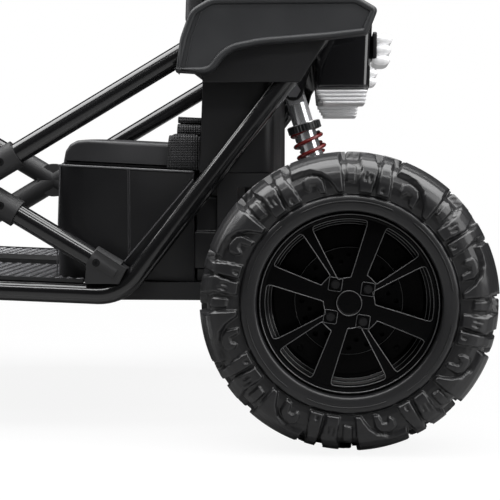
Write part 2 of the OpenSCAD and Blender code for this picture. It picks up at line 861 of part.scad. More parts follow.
// The pod's outline and the hollow behind its face, as x and z off the photo
pod_outline = [
    [251, 421.8], [256, 461], [268, 494], [292, 508], [tail_x1 - 20, 508], [tail_x1 + 4, 494],
    [tail_x1 - 8, 464], [428, 459], [350, 453], [319, 447], [307, 439], [295, 423], [284, 419.5]
];
pod_hollow = [
    [258, 430], [262, 461], [272, 490], [293, 504], [tail_x1 - 22, 504], [tail_x1 - 4, 491],
    [tail_x1 - 14, 468], [428, 463], [349, 457], [316, 451], [302, 442], [291, 427], [284, 424.5]
];

module side_pod(y_out, y_in) {
    difference() {
        side_plate(pod_outline, y_out, y_in);
        side_plate(pod_hollow, y_out + pod_t / 3, y_in + 1);
    }
}

module side_pod_left() {
    color("dimgray") side_pod(-pod_y - pod_t, -pod_y);
}

module side_pod_right() {
    color("dimgray") mirror([0, 1, 0]) side_pod(-pod_y - pod_t, -pod_y);
}

// Outline of the panels behind the pods, as x and z off the photo
panel_outline = [[281, 411], [394, 411], [423, 457], [428, 500], [281, 500]];

module inner_panels() {
    color("black") both_sides() side_plate(panel_outline, -panel_y - shell_t, -panel_y);
}

module tail_outline(d) {
    polygon([
        [tail_x0 + d, tail_z0 + d], [tail_x1 - 14 - d, tail_z0 + d], [tail_x1 - 3 - d, tail_z0 + 24],
        [tail_x1 - d, tail_z0 + 56], [tail_x1 - 6 - d, tail_z1 - d], [tail_x0 + d, tail_z1 - d]
    ]);
}

module tail_shell() {
    color("#101010") difference() {
        translate([0, tail_w / 2, 0]) rotate([90, 0, 0]) linear_extrude(tail_w) tail_outline(0);
        translate([0, tail_w / 2 - shell_t, 0]) rotate([90, 0, 0])
            linear_extrude(tail_w - 2 * shell_t) tail_outline(shell_t);
    }
}

fin_count = 4;
fin_pitch = 4.6;

module fin_blocks() {
    color("silver") both_sides() {
        for (i = [0:fin_count - 1])
            box([tail_x0 + 2 + i * 2.5, -tail_w / 2 + 2, tail_z0 - gap - (i + 1) * fin_pitch + 1.6],
                [tail_x1 - 18 - i * 1.5, -tail_w / 2 + 90, tail_z0 - gap - i * fin_pitch]);
        box([tail_x0 + 14, -tail_w / 2 + 5, tail_z0 - gap - fin_count * fin_pitch + 2],
            [tail_x1 - 26, -tail_w / 2 + 87, tail_z0 - gap]);
    }
}

lamp_z0 = 426.7;
lamp_z1 = 474;
lamp_w = 84;

module tail_lamps() {
    color("white") both_sides() {
        box([tail_x1 + gap, -tail_w / 2 + 8, lamp_z0 + 6], [tail_x1 + 5, -tail_w / 2 + 8 + lamp_w, lamp_z1]);
        for (i = [0:2])
            intersection() {
                cross_rod(tail_x1 + 5, lamp_z0 + 9 + i * 14, -tail_w / 2 + 10, -tail_w / 2 + 6 + lamp_w, 26);
                box([tail_x1 + 1, -tail_w / 2, lamp_z0 + 2 + i * 14], [tail_x1 + 30, 0, lamp_z0 + 16 + i * 14]);
            }
    }
}

cowl_y = cowl_w / 2;
cowl_rise = 30;
nose_x = -(axle_x + 133);
dash_x0 = dash_tube_x - tube_r;

cowl_nose_z = 300;

// Side outline of the front cowl
module cowl_outline() {
    polygon([
        [dash_x0 - gap, 410], [dash_x0 - gap, cowl_over + shell_t + cowl_rise], [front_cross_x, cowl_over + shell_t],
        [-axle_x - 40, 440], [nose_x + 8, 350], [nose_x, cowl_nose_z],
        [nose_x + 12, 240], [-axle_x - 80, 225], [-axle_x + 60, 262]
    ]);
}

// Side outline of the cowl's inside, open below and to the rear
module cowl_space() {
    polygon([
        [dash_x0 + 10, 200], [dash_x0 + 10, cowl_over + cowl_rise], [front_cross_x, cowl_over],
        [-axle_x - 38.5, 440 - shell_t], [nose_x + 8 + shell_t, 350 - shell_t / 2],
        [nose_x + shell_t, cowl_nose_z], [nose_x + 20 + shell_t, 200]
    ]);
}

lamp_y = 120;
lamp_z = 290;
lamp_r = 34;

module front_cowl() {
    color("#1c1c1c") difference() {
        translate([0, cowl_y, 0]) rotate([90, 0, 0]) linear_extrude(cowl_w) cowl_outline();
        translate([0, cowl_y - shell_t, 0]) rotate([90, 0, 0])
            linear_extrude(cowl_w - 2 * shell_t) cowl_space();
        cross_rod(front_cross_x, upper_z, -side_y, side_y, tube_d + 2 * gap);
        for (s = [-1, 1]) translate([nose_x - 40, s * lamp_y, lamp_z]) rotate([0, 90, 0])
            cylinder(h = 60, r = lamp_r + gap);
    }
}

module headlights() {
    color("white") for (s = [-1, 1]) translate([nose_x - 4, s * lamp_y, lamp_z]) rotate([0, 90, 0]) {
        cylinder(h = 34, r = lamp_r);
        translate([0, 0, 18]) cylinder(h = 4, r = lamp_r + 4);
        translate([0, 0, 34]) cylinder(h = 14, r1 = lamp_r, r2 = 16);
    }
}

bumper_z = 346;
bumper_y = 180;

module front_bumper() {
    color("black") difference() {
        bent_tube([
            [-axle_x - axle_beam / 2 - seam, -bumper_y, axle_z], [-bumper_x, -bumper_y, axle_z + 14],
            [-bumper_x, -bumper_y, bumper_z], [-bumper_x, bumper_y, bumper_z],
            [-bumper_x, bumper_y, axle_z + 14], [-axle_x - axle_beam / 2 - seam, bumper_y, axle_z]
        ], r = 40);
        box([-axle_x - axle_beam / 2 - seam, -side_y, 100], [-axle_x, side_y, 220]);
    }
}

dash_w = 380;
dash_z1 = 508;
dash_l = 44;
switch_w = 24;
switch_h = 16;

module dash_block(d) {
    side_plate([
        [dash_x0 + d, cowl_over + d], [dash_x0 + d, dash_z1 - d], [dash_x0 + dash_l - 14 - d, dash_z1 - d],
        [dash_x0 + dash_l - d, dash_z1 - 22], [dash_x0 + dash_l - d, cowl_over + d]
    ], -dash_w / 2 + d, dash_w / 2 - d);
}

module dashboard() {
    color("#202020") difference() {
        dash_block(0);
        dash_block(shell_t);
        for (s = [-1, 1]) switch_place(s) translate([-switch_h / 2, -switch_w / 2, -10])
            cube([switch_h, switch_w, 20]);
    }
}

switch_y = 110;
switch_z = cowl_over + 9;
rocker_r = 9;
rocker_back = 8.4;

// Frame of a rocker switch on the dash's rear face, z towards the driver
module switch_place(s) {
    translate([dash_x0 + dash_l, s * switch_y, switch_z]) rotate([0, 90, 0]) children();
}

// Rocker that turns on a pin across the kart's height
module rocker(s) {
    switch_place(s) intersection() {
        translate([0, 0, -4]) rotate([0, 90, 0]) cylinder(h = switch_h - 2 * gap, r = rocker_r + 2, center = true);
        translate([-switch_h / 2 + gap, -switch_w / 2 + 1, -rocker_back])
            cube([switch_h - 2 * gap, switch_w - 2, rocker_back + rocker_r]);
    }
}

module power_switch() {
    color("red") rocker(-1);
}

module direction_switch() {
    color("gray") rocker(1);
}

// Steering

module at_column(s) {
    translate(column_foot + s * column_dir()) aim(column_dir()) children();
}

module steering_column() {
    color("silver") {
        at_column(pitman_s) {
            cylinder(h = column_l + column_over - pitman_s, d = column_d);
            cylinder(h = pitman_t, r = 15);
            translate([0, -pitman_t, 0]) cube([pitman_r, 2 * pitman_t, pitman_t]);
            translate([pitman_r, 0, 0]) cylinder(h = pitman_t, r = pitman_t);
        }
        at_column(-pitman_s - 1) translate([pitman_r, 0, 0]) cylinder(h = 2 * pitman_s + 2, d = tie_pin_d);
        at_column(bracket_s + 15 + gap) cylinder(h = 8, d = column_d + 10);
    }
}

module steering_wheel() {
    color("#1a1a1a") at_column(column_l) difference() {
        union() {
            rotate_extrude() translate([grip_r, 0]) circle(d = grip_d);
            cylinder(h = 2 * wheel_hub_h, r = 30, center = true);
            for (a = [0, 120, 240])
                rotate(a) translate([20, -11, -5]) cube([grip_r - 20, 22, 9]);
        }
        translate([0, 0, -20]) cylinder(h = 20 + column_over + gap, d = column_d + 2 * fit);
        translate([0, 0, horn_seat]) cylinder(h = 10, r = horn_r + gap);
    }
}

module horn_button() {
    color("darkred") at_column(column_l) translate([0, 0, horn_seat + horn_travel + gap])
        cylinder(h = 6, r = horn_r);
}

pedal_x = -318;
pedal_y = 100;
pedal_z = rail_at(pedal_x) + floor_top + 14;
pedal_l = 105;
pedal_pin_d = 8;
pedal_w = 62;
pedal_ear_y = pedal_w / 2 + gap + 2;
pedal_lean = 52;

module pedal() {
    color("#222222") translate([pedal_x, pedal_y, pedal_z]) rotate([0, pedal_lean - 90, 0]) difference() {
        union() {
            translate([-5, -pedal_w / 2, 0]) cube([9, pedal_w, pedal_l]);
            translate([0, pedal_w / 2, 0]) rotate([90, 0, 0]) cylinder(h = pedal_w, r = 9);
        }
        for (i = [0:5]) translate([3, -pedal_w / 2 + 6, 18 + i * 14]) cube([2, pedal_w - 12, 6]);
        translate([0, 100, 0]) rotate([90, 0, 0]) cylinder(h = 200, d = pedal_pin_d + 2 * fit);
    }
}

module tie_rod() {
    half = kingpin_y;
    color("silver") difference() {
        union() {
            rod([tie_x, -half + 12, tie_z], [tie_x, half - 12, tie_z], tie_d);
            both_sides() translate([tie_x - 1, -half, tie_z - tie_boss_h / 2]) cylinder(h = tie_boss_h, r = 15);
            at_tie_boss() translate([-5, 0, -tie_boss_h / 2]) cylinder(h = tie_boss_h, r = 18);
        }
        both_sides() translate([tie_x - 1.5, -half, tie_z - 20]) linear_extrude(40)
            slot(3.2, tie_pin_d / 2 + 0.9);
        at_tie_boss() translate([-2.6, 0, -20]) linear_extrude(40) slot(5.6, tie_pin_d / 2 + 1.6);
    }
}

module at_tie_boss() {
    translate([tie_x, 0, tie_z]) aim(column_dir()) children();
}

// Oblong of end radius r, longer by l than it is wide, along x
module slot(l, r) {
    translate([-l / 2, -r]) square([l, 2 * r]);
    for (s = [-1, 1]) translate([s * l / 2, 0]) circle(r);
}

module knuckle(s) {
    color("silver") difference() {
        union() {
            translate([-axle_x, s * kingpin_y, axle_z]) cylinder(h = barrel_h, r = knuckle_r, center = true);
            rotate_to_side(s) rod([-axle_x, -kingpin_y, axle_z], [-axle_x, -wheel_y - spoke_face + 4, axle_z], axle_d);
            rotate_to_side(s) rod([-axle_x, -kingpin_y, axle_z], [-axle_x, -wheel_y + hub_in + gap, axle_z], axle_d + 12);
            translate([-axle_x, s * kingpin_y - 8, axle_z + 9]) cube([steer_arm, 16, 8]);
            translate([-axle_x + steer_arm, s * kingpin_y, axle_z + 9]) cylinder(h = 8, r = 9);
            translate([-axle_x + steer_arm, s * kingpin_y, axle_z + 9]) cylinder(h = 40, d = tie_pin_d);
        }
        translate([-axle_x, s * kingpin_y, 0]) cylinder(h = 2 * axle_z, r = pin_r + fit);
    }
}

module rotate_to_side(s) {
    if (s < 0) children();
    else mirror([0, 1, 0]) children();
}

module knuckle_left() {
    knuckle(-1);
}

module knuckle_right() {
    knuckle(1);
}

// Rear suspension

housing_d = 32;
housing_y = 296;
arm_y = 150;

module swing_arm() {
    low_out = shock_ear_y + seam;
    color("#1a1a1a") difference() {
        union() {
            cross_rod(pivot_x, rear_rail_z, -rear_rail_y + beam / 2 + gap, rear_rail_y - beam / 2 - gap, 26);
            cross_rod(axle_x, axle_z, -housing_y, housing_y, housing_d);
            both_sides() {
                box([pivot_x, -arm_y - 15, axle_z - 10], [axle_x, -arm_y + 15, axle_z + 10]);
                for (s = [-1, 1]) hull() {
                    cross_rod(shock_lower[0], shock_lower[1], low_ear(s), low_ear(s) + shock_ear_t, 22);
                    cross_rod(axle_x, axle_z, low_ear(s), low_ear(s) + shock_ear_t, housing_d - 4);
                }
                cross_rod(shock_lower[0], shock_lower[1], low_ear(-1), low_ear(1) + shock_ear_t, shock_pin_d);
            }
        }
        cross_rod(pivot_x, rear_rail_z, -side_y, side_y, pin_d + 2 * fit);
        cross_rod(axle_x, axle_z, -side_y - 40, side_y + 40, axle_d + 2 * fit);
    }
}

function low_ear(s) = -shock_y + (s > 0 ? shock_ear_y + seam : -shock_ear_y - seam - shock_ear_t);

module rear_axle() {
    color("silver") cross_rod(axle_x, axle_z, -wheel_y - spoke_face + 4, wheel_y + spoke_face - 4, axle_d);
}

hub_in = 12;
gearbox_r = 60;
gearbox_l = 48;
motor_r = 21;

module motor_gearboxes() {
    y = -housing_y - seam;
    color("#333333") both_sides() {
        difference() {
            union() {
                cross_rod(axle_x, axle_z, y - gearbox_l, y, 2 * gearbox_r);
                cross_rod(axle_x - 46, axle_z - 20, y - 8, y + 4, 2 * motor_r + 10);
            }
            cross_rod(axle_x, axle_z, y - 100, y + 100, axle_d + 2 * fit);
        }
        cross_rod(axle_x - 46, axle_z - 20, y + 4, y + 60, 2 * motor_r);
    }
}

module on_shock(side) {
    translate([shock_upper[0], side * shock_y, shock_upper[1]]) rotate([0, 180 - shock_lean, 0]) children();
}

// Upper half of a shock absorber: eye, damper tube and knurled collar
module shock_body(side) {
    color("silver") on_shock(side) difference() {
        union() {
            rotate([90, 0, 0]) cylinder(h = eye_w, r = eye_r, center = true);
            translate([0, 0, 4]) cylinder(h = damper_end - 4, d = damper_d - 0.5);
            translate([0, 0, collar_s - collar_h / 2]) cylinder(h = collar_h, d = collar_d);
        }
        rotate([90, 0, 0]) cylinder(h = 60, d = shock_pin_d + 2 * fit, center = true);
        translate([0, 0, rod_top - 24]) cylinder(h = 200, d = rod_d + 2 * fit);
        for (s = [-1, 1]) translate([-50, s * (eye_w / 2 + 25) - 25, -50]) cube([100, 50, 66]);
    }
}

// Lower half: rod, spring seat and eye, whose bush is slack on the swing arm's pin
module shock_rod(side) {
    color("silver") on_shock(side) difference() {
        union() {
            translate([0, 0, rod_top]) cylinder(h = shock_l - rod_top - 6, d = rod_d);
            translate([0, 0, seat_s - seat_h]) cylinder(h = seat_h, d = spring_d + 1);
            translate([0, 0, shock_l]) rotate([90, 0, 0]) cylinder(h = eye_w, r = eye_r, center = true);
        }
        translate([0, 0, shock_l]) rotate([90, 0, 0])
            cylinder(h = 60, r = shock_pin_d / 2 + bush_slack, center = true);
    }
}

// Middle line of the spring wire: straight ends along the axis and even coils between
function spring_path() =
    let (
        rise = spring_len - 2 * spring_wire,
        n = spring_coils * spring_steps,
        coil = [for (i = [0:n]) let (a = 360 * i / spring_steps)
            [spring_r * cos(a), spring_r * sin(a), spring_wire + rise * i / n, a]]
    )
    concat([[spring_r, 0, 0, 0]], coil, [[spring_r, 0, spring_len, 360 * spring_coils]]);

module spring_tube() {
    p = spring_path();
    n = len(p) - 1;
    sides = 6;
    function at(i) = [p[i][0], p[i][1], p[i][2]];
    rings = [for (i = [0:n]) let (
            t = i == 0 || i == n ? [0, 0, 1] : unit(at(i + 1) - at(i - 1)),
            e = [cos(p[i][3]), sin(p[i][3]), 0],
            f = cross(t, e) )
        for (j = [0:sides - 1]) let (q = 360 * j / sides)
            at(i) + spring_wire / 2 * (cos(q) * e + sin(q) * f)];
    polyhedron(rings, concat(
        [for (i = [0:n - 1], j = [0:sides - 1]) let (k = (j + 1) % sides)
            [i * sides + j, (i + 1) * sides + k, i * sides + k]],
        [for (i = [0:n - 1], j = [0:sides - 1]) let (k = (j + 1) % sides)
            [i * sides + j, (i + 1) * sides + j, (i + 1) * sides + k]],
        [for (j = [1:sides - 2]) [0, j, j + 1]],
        [for (j = [1:sides - 2]) [n * sides, n * sides + j + 1, n * sides + j]]
    ));
}

// Least gap of the spring to itself, on points of its middle line more than half a coil apart
spring_points = spring_path();
spring_gap = min([for (i = [0:len(spring_points) - 1], j = [i + spring_steps / 2 + 1:len(spring_points) - 1])
    norm([for (k = [0:2]) spring_points[i][k] - spring_points[j][k]])]) - spring_wire;
echo(least_spring_gap = spring_gap);

module shock_spring(side) {
    color("firebrick") on_shock(side) translate([0, 0, spring_s0]) spring_tube();
}

module shock_body_left() { shock_body(-1); }
module shock_body_right() { shock_body(1); }
module shock_rod_left() { shock_rod(-1); }
module shock_rod_right() { shock_rod(1); }
module shock_spring_left() { shock_spring(-1); }
module shock_spring_right() { shock_spring(1); }

// Wheels, made with the middle plane at z = 0 and the outer face towards +z

shoulder_r = tyre_d / 2 - lug_h;

module tyre_section() {
    h = tyre_w / 2;
    difference() {
        union() {
            translate([rim_r + 8, -h + 7]) square([shoulder_r - rim_r - 30, 2 * h - 14]);
            translate([rim_r + 8, -h + 26]) square([shoulder_r - rim_r - 8, 2 * h - 52]);
            for (s = [-1, 1]) {
                translate([shoulder_r - 24, s * (h - 26)]) circle(24 - 1);
                translate([rim_r + 12, s * (h - 14)]) circle(12 - seam);
            }
            translate([rim_r + seam, -h + 14]) square([20, 2 * h - 28]);
        }
        translate([rim_r - 20, -h - 1]) square([20 + seam, tyre_w + 2]);
    }
}

module lug_section() {
    h = tyre_w / 2;
    polygon([
        [shoulder_r - 8, -h + 30], [shoulder_r - 50, -h + 12], [shoulder_r - 44, -h],
        [shoulder_r - 12, -h + 1], [shoulder_r + lug_h - 5, -h + 14], [shoulder_r + lug_h, -h + 30],
        [shoulder_r + lug_h, h - 30], [shoulder_r + lug_h - 5, h - 14], [shoulder_r - 12, h - 1],
        [shoulder_r - 44, h], [shoulder_r - 50, h - 12], [shoulder_r - 8, h - 30]
    ]);
}

lug_share = 0.62;

module tyre() {
    pitch = 360 / lug_count;
    color("#303030") {
        rotate_extrude() tyre_section();
        for (i = [0:lug_count - 1])
            rotate(i * pitch - pitch * lug_share / 2) rotate_extrude(angle = pitch * lug_share) lug_section();
    }
}

rim_seat = rim_r - seam;
barrel_back = -tyre_w / 2 + 10;
barrel_front = spoke_face + 9;
rim_step = 0.6;
hub_r = 30;
hub_ring_r = 26.5;
disc_r = 60;
web_t = 4;

module rim_profile() {
    back_wall = rim_lip + 4;
    polygon([
        [rim_seat, barrel_back], [rim_seat, barrel_front], [rim_seat - rim_lip + 2, barrel_front],
        [rim_seat - rim_lip, barrel_front - 4], [rim_seat - rim_lip, spoke_face - spoke_t - 6],
        [rim_seat - back_wall, spoke_face - spoke_t - 22], [rim_seat - back_wall, barrel_back]
    ]);
}

// Spoke from the hub to the barrel, w0 wide at the hub and w1 wide at the rim
module spoke(a, w0, w1) {
    rotate(a) translate([0, 0, spoke_face - spoke_t]) linear_extrude(spoke_t - rim_step)
        polygon([[22, -w0 / 2], [rim_seat - rim_lip + 2, -w1 / 2], [rim_seat - rim_lip + 2, w1 / 2], [22, w0 / 2]]);
}

module rim() {
    color("#121212") difference() {
        union() {
            rotate_extrude() rim_profile();
            for (i = [0:3]) {
                spoke(70.5 + i * 90, 15, 21);
                spoke(30.5 + i * 90, 8, 12.5);
                rotate(36.5 + i * 90) translate([bolt_circle / 2, 0, spoke_face - spoke_t - 2])
                    cylinder(h = spoke_t + 2, r = 9);
            }
            translate([0, 0, -hub_in]) cylinder(h = hub_in + spoke_face - 4, r = hub_r);
            cylinder(h = web_t, r = rim_seat - rim_lip - 2);
            translate([0, 0, spoke_face - 6]) cylinder(h = 6 - 2 * rim_step, r = hub_ring_r);
            translate([0, 0, spoke_face - 3]) cylinder(h = 5, r = 13.6);
            difference() {
                translate([0, 0, 10]) cylinder(h = 4, r = disc_r);
                for (i = [0:15]) rotate(i * 22.5) translate([disc_r - 11, 0, 9]) cylinder(h = 6, r = 4);
            }
        }
        translate([0, 0, -hub_in - 1]) cylinder(h = hub_in + spoke_face - 3 + gap, r = axle_r + fit);
        for (i = [0:3]) rotate(36.5 + i * 90) translate([bolt_circle / 2, 0, spoke_face - 20])
            cylinder(h = 60, d = wheel_bolt_d + 2 * fit);
    }
}

module bolts() {
    color("silver") for (i = [0:3]) rotate(36.5 + i * 90) translate([bolt_circle / 2, 0, spoke_face]) {
        translate([0, 0, -19]) cylinder(h = 19 + seam, d = wheel_bolt_d);
        translate([0, 0, seam]) cylinder(h = 1.4, d = wheel_bolt_d * 1.6);
        translate([0, 0, seam]) cylinder(h = 5, d = wheel_bolt_d * 1.4, $fn = 6);
    }
}

// Places a wheel piece: front or rear by sx, left or right by sy
module at_wheel(sx, sy) {
    rotate_to_side(sy) translate([sx * axle_x, -wheel_y, axle_z]) rotate([90, 0, 0]) children();
}

module front_left_tyre() { at_wheel(-1, -1) tyre(); }
module front_right_tyre() { at_wheel(-1, 1) tyre(); }
module rear_left_tyre() { at_wheel(1, -1) tyre(); }
module rear_right_tyre() { at_wheel(1, 1) tyre(); }
module front_left_rim() { at_wheel(-1, -1) rim(); }
module front_right_rim() { at_wheel(-1, 1) rim(); }
module rear_left_rim() { at_wheel(1, -1) rim(); }
module rear_right_rim() { at_wheel(1, 1) rim(); }
module front_left_bolts() { at_wheel(-1, -1) bolts(); }
module front_right_bolts() { at_wheel(-1, 1) bolts(); }
module rear_left_bolts() { at_wheel(1, -1) bolts(); }
module rear_right_bolts() { at_wheel(1, 1) bolts(); }

module side_tube_left() { side_tube(-side_y); }
module side_tube_right() { side_tube(side_y); }

side_tube_left();
side_tube_right();
cross_tubes();
brace_tubes();
brace_joints();
joint_screws();
corner_boots();
floor_pan();
front_chassis();
rear_chassis();
pivot_bolts();
back_hoop();
seat_box();
seat_cushion();
back_box();
back_cushion();
lap_belts();
belt_buckle();
battery();
controller_box();
side_pod_left();
side_pod_right();
inner_panels();
tail_shell();
fin_blocks();
tail_lamps();
front_cowl();
headlights();
front_bumper();
dashboard();
steering_column();
steering_wheel();
horn_button();
power_switch();
direction_switch();
pedal();
tie_rod();
knuckle_left();
knuckle_right();
swing_arm();
rear_axle();
motor_gearboxes();
shock_body_left();
shock_body_right();
shock_rod_left();
shock_rod_right();
shock_spring_left();
shock_spring_right();
front_left_tyre();
front_right_tyre();
rear_left_tyre();
rear_right_tyre();
front_left_rim();
front_right_rim();
rear_left_rim();
rear_right_rim();
front_left_bolts();
front_right_bolts();
rear_left_bolts();
rear_right_bolts();
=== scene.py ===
import json
import math

import bmesh
import bpy
import numpy as np
from mathutils import Matrix, Vector


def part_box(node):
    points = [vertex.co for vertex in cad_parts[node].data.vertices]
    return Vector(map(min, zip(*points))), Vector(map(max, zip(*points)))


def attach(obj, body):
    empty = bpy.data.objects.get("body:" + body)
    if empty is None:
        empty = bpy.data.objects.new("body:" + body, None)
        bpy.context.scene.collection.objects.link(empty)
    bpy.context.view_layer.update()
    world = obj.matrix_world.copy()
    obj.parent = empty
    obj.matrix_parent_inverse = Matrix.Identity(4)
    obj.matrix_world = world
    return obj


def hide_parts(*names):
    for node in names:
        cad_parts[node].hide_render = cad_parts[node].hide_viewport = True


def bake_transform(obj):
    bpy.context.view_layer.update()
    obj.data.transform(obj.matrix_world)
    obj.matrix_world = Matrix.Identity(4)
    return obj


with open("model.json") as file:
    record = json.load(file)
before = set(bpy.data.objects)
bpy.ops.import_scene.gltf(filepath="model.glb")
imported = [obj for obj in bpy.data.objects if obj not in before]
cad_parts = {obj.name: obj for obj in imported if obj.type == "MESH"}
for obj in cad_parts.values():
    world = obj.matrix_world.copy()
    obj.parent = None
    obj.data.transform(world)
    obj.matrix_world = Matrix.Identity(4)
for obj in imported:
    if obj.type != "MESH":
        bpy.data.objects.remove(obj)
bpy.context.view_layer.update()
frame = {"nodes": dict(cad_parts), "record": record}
MM = 0.001

WHEELS = ("front_left", "front_right", "rear_left", "rear_right")
# The record's material slot of each node
SLOT_OF = {part["node"]: part["material_slot"] for part in frame["record"]["subparts"]}


# Camera and light


def add_camera():
    """The photograph's camera, level with the seat and 1.96 m to the kart's left."""
    focal_px = 1431.0
    width_px = 500.0
    # Where the camera's axis meets the picture, and the middle of the picture
    axis_px = (322.0, 168.0)
    middle_px = (250.8, 249.0)
    data = bpy.data.cameras.new("camera")
    data.sensor_width = 36.0
    data.lens = focal_px / width_px * data.sensor_width
    camera = bpy.data.objects.new("camera", data)
    bpy.context.scene.collection.objects.link(camera)
    camera.location = (0.4193, -1.960, 0.3106)
    aim = Vector(((middle_px[0] - axis_px[0]) / focal_px, 1.0, (axis_px[1] - middle_px[1]) / focal_px))
    camera.rotation_euler = aim.to_track_quat("-Z", "Y").to_euler()
    bpy.context.scene.camera = camera


def add_area(name, place, target, size, power):
    """Rectangular light of a size in m and a power in W, aimed from its place at a target."""
    data = bpy.data.lights.new(name, "AREA")
    data.shape = "RECTANGLE"
    data.size, data.size_y = size
    data.energy = power
    lamp = bpy.data.objects.new(name, data)
    bpy.context.scene.collection.objects.link(lamp)
    lamp.location = place
    lamp.rotation_euler = (Vector(target) - Vector(place)).to_track_quat("-Z", "Y").to_euler()


def add_node(tree, kind, settings=(), **sockets):
    """Shader node with its settings, as pairs, and the values of its input sockets."""
    node = tree.nodes.new("ShaderNode" + kind)
    for setting, value in settings:
        setattr(node, setting, value)
    for socket, value in sockets.items():
        node.inputs[socket.replace("_", " ")].default_value = value
    return node


def link(source, output, target, entry):
    """Link from a node's output to another node's input."""
    source.id_data.links.new(source.outputs[output], target.inputs[entry])


def add_light():
    """Softboxes overhead, above the camera and at both ends, in a studio that is dark in reflections."""
    add_area("softbox_over", (0.2, -0.2, 2.6), (0.2, -0.1, 0.2), (6.4, 2.2), 230)
    add_area("softbox_key", (0.3, -2.3, 2.4), (0.3, 0, 0.25), (2.6, 0.4), 26)
    add_area("softbox_rear", (2.4, -1.5, 1.2), (0.5, 0, 0.3), (1.6, 1.9), 28)
    add_area("softbox_front", (-2.4, 0.7, 1.1), (0.1, 0, 0.3), (1.0, 1.6), 22)
    world = bpy.data.worlds.new("studio")
    bpy.context.scene.world = world
    world.use_nodes = True
    tree = world.node_tree
    background = tree.nodes["Background"]
    background.inputs["Color"].default_value = (1, 1, 1, 1)
    path = add_node(tree, "LightPath")
    seen = add_node(tree, "Math", [("operation", "MAXIMUM")])
    link(path, "Is Camera Ray", seen, 0)
    link(path, "Is Transmission Ray", seen, 1)
    # The world's strength for diffuse and for glossy rays, and for those that see it
    fill = add_node(tree, "MapRange", To_Min=0.25, To_Max=0.03)
    link(path, "Is Glossy Ray", fill, "Value")
    level = add_node(tree, "MapRange", To_Max=1.0)
    link(seen, 0, level, "Value")
    link(fill, "Result", level, "To Min")
    link(level, "Result", background, "Strength")


def add_floor():
    """White floor that keeps a soft shadow near the kart and turns to plain white further out."""
    bpy.ops.mesh.primitive_plane_add(size=60)
    floor = bpy.context.object
    floor.name = "studio_floor"
    material = bpy.data.materials.new("studio_floor")
    material.use_nodes = True
    tree = material.node_tree
    shader = tree.nodes["Principled BSDF"]
    shader.inputs["Roughness"].default_value = 0.16
    path = add_node(tree, "LightPath")
    # Grey for the light that it throws back at the kart, and white where it is seen
    tone = add_node(tree, "Mix", [("data_type", "RGBA")], A=(0.22, 0.22, 0.22, 1), B=(0.95, 0.95, 0.96, 1))
    link(path, "Is Camera Ray", tone, "Factor")
    link(tone, "Result", shader, "Base Color")
    white = add_node(tree, "Emission")
    mix = add_node(tree, "MixShader")
    place = add_node(tree, "TexCoord")
    length = add_node(tree, "VectorMath", [("operation", "LENGTH")])
    fade = add_node(
        tree, "MapRange", [("interpolation_type", "SMOOTHSTEP")], From_Min=0.6, From_Max=1.7, To_Min=0.9,
    )
    only_seen = add_node(tree, "Math", [("operation", "MULTIPLY")])
    link(place, "Object", length, 0)
    link(length, "Value", fade, "Value")
    link(fade, "Result", only_seen, 0)
    link(path, "Is Camera Ray", only_seen, 1)
    link(only_seen, 0, mix, "Fac")
    link(shader, "BSDF", mix, 1)
    link(white, "Emission", mix, 2)
    link(mix, "Shader", tree.nodes["Material Output"], "Surface")
    floor.data.materials.append(material)


# Materials

CLOUD_SCALE = 14
CLOUD_DETAIL = 6
GLOSS_SPREAD = 0.15
GRAIN_DEPTH = 0.4 * MM
WEAVE_SCALE = 105
WEAVE_DEPTH = 1.6 * MM


def fresh_material(name):
    """The imported material of that name, or a new one, emptied but for its shader and output."""
    material = bpy.data.materials.get(name) or bpy.data.materials.new(name)
    material.use_nodes = True
    tree = material.node_tree
    tree.nodes.clear()
    shader = add_node(tree, "BsdfPrincipled")
    shader.name = "Principled BSDF"
    output = add_node(tree, "OutputMaterial")
    link(shader, "BSDF", output, "Surface")
    return material


def grained(
    name, colour, rough, grain=0.0, scale=900.0, metallic=0.0, coat=0.0, spread=0.25, kind="noise", **sockets
):
    """A surface whose colour and roughness wander a little, with a fine grain in its bump."""
    material = fresh_material(name)
    tree = material.node_tree
    shader = tree.nodes["Principled BSDF"]
    sockets = {"Metallic": metallic, "Coat_Weight": coat, "Coat_Roughness": 0.06, **sockets}
    for socket, value in sockets.items():
        shader.inputs[socket.replace("_", " ")].default_value = value
    place = add_node(tree, "TexCoord")
    cloud = add_node(tree, "TexNoise", Scale=CLOUD_SCALE, Detail=CLOUD_DETAIL)
    link(place, "Object", cloud, "Vector")
    darker = [c * (1 - spread) for c in colour]
    paler = [c * (1 + spread) for c in colour]
    tint = add_node(tree, "Mix", [("data_type", "RGBA")], A=(*darker, 1), B=(*paler, 1))
    link(cloud, "Fac", tint, "Factor")
    link(tint, "Result", shader, "Base Color")
    glossy, dull = rough * (1 - GLOSS_SPREAD), min(1, rough * (1 + GLOSS_SPREAD))
    gloss = add_node(tree, "MapRange", From_Min=0.3, From_Max=0.7, To_Min=glossy, To_Max=dull)
    link(cloud, "Fac", gloss, "Value")
    link(gloss, "Result", shader, "Roughness")
    if grain:
        cells = kind == "cells"
        texture = add_node(tree, "TexVoronoi" if cells else "TexNoise", Scale=scale)
        link(place, "Object", texture, "Vector")
        bump = add_node(tree, "Bump", Strength=grain, Distance=GRAIN_DEPTH)
        link(texture, "Distance" if cells else "Fac", bump, "Height")
        link(bump, "Normal", shader, "Normal")
    return material


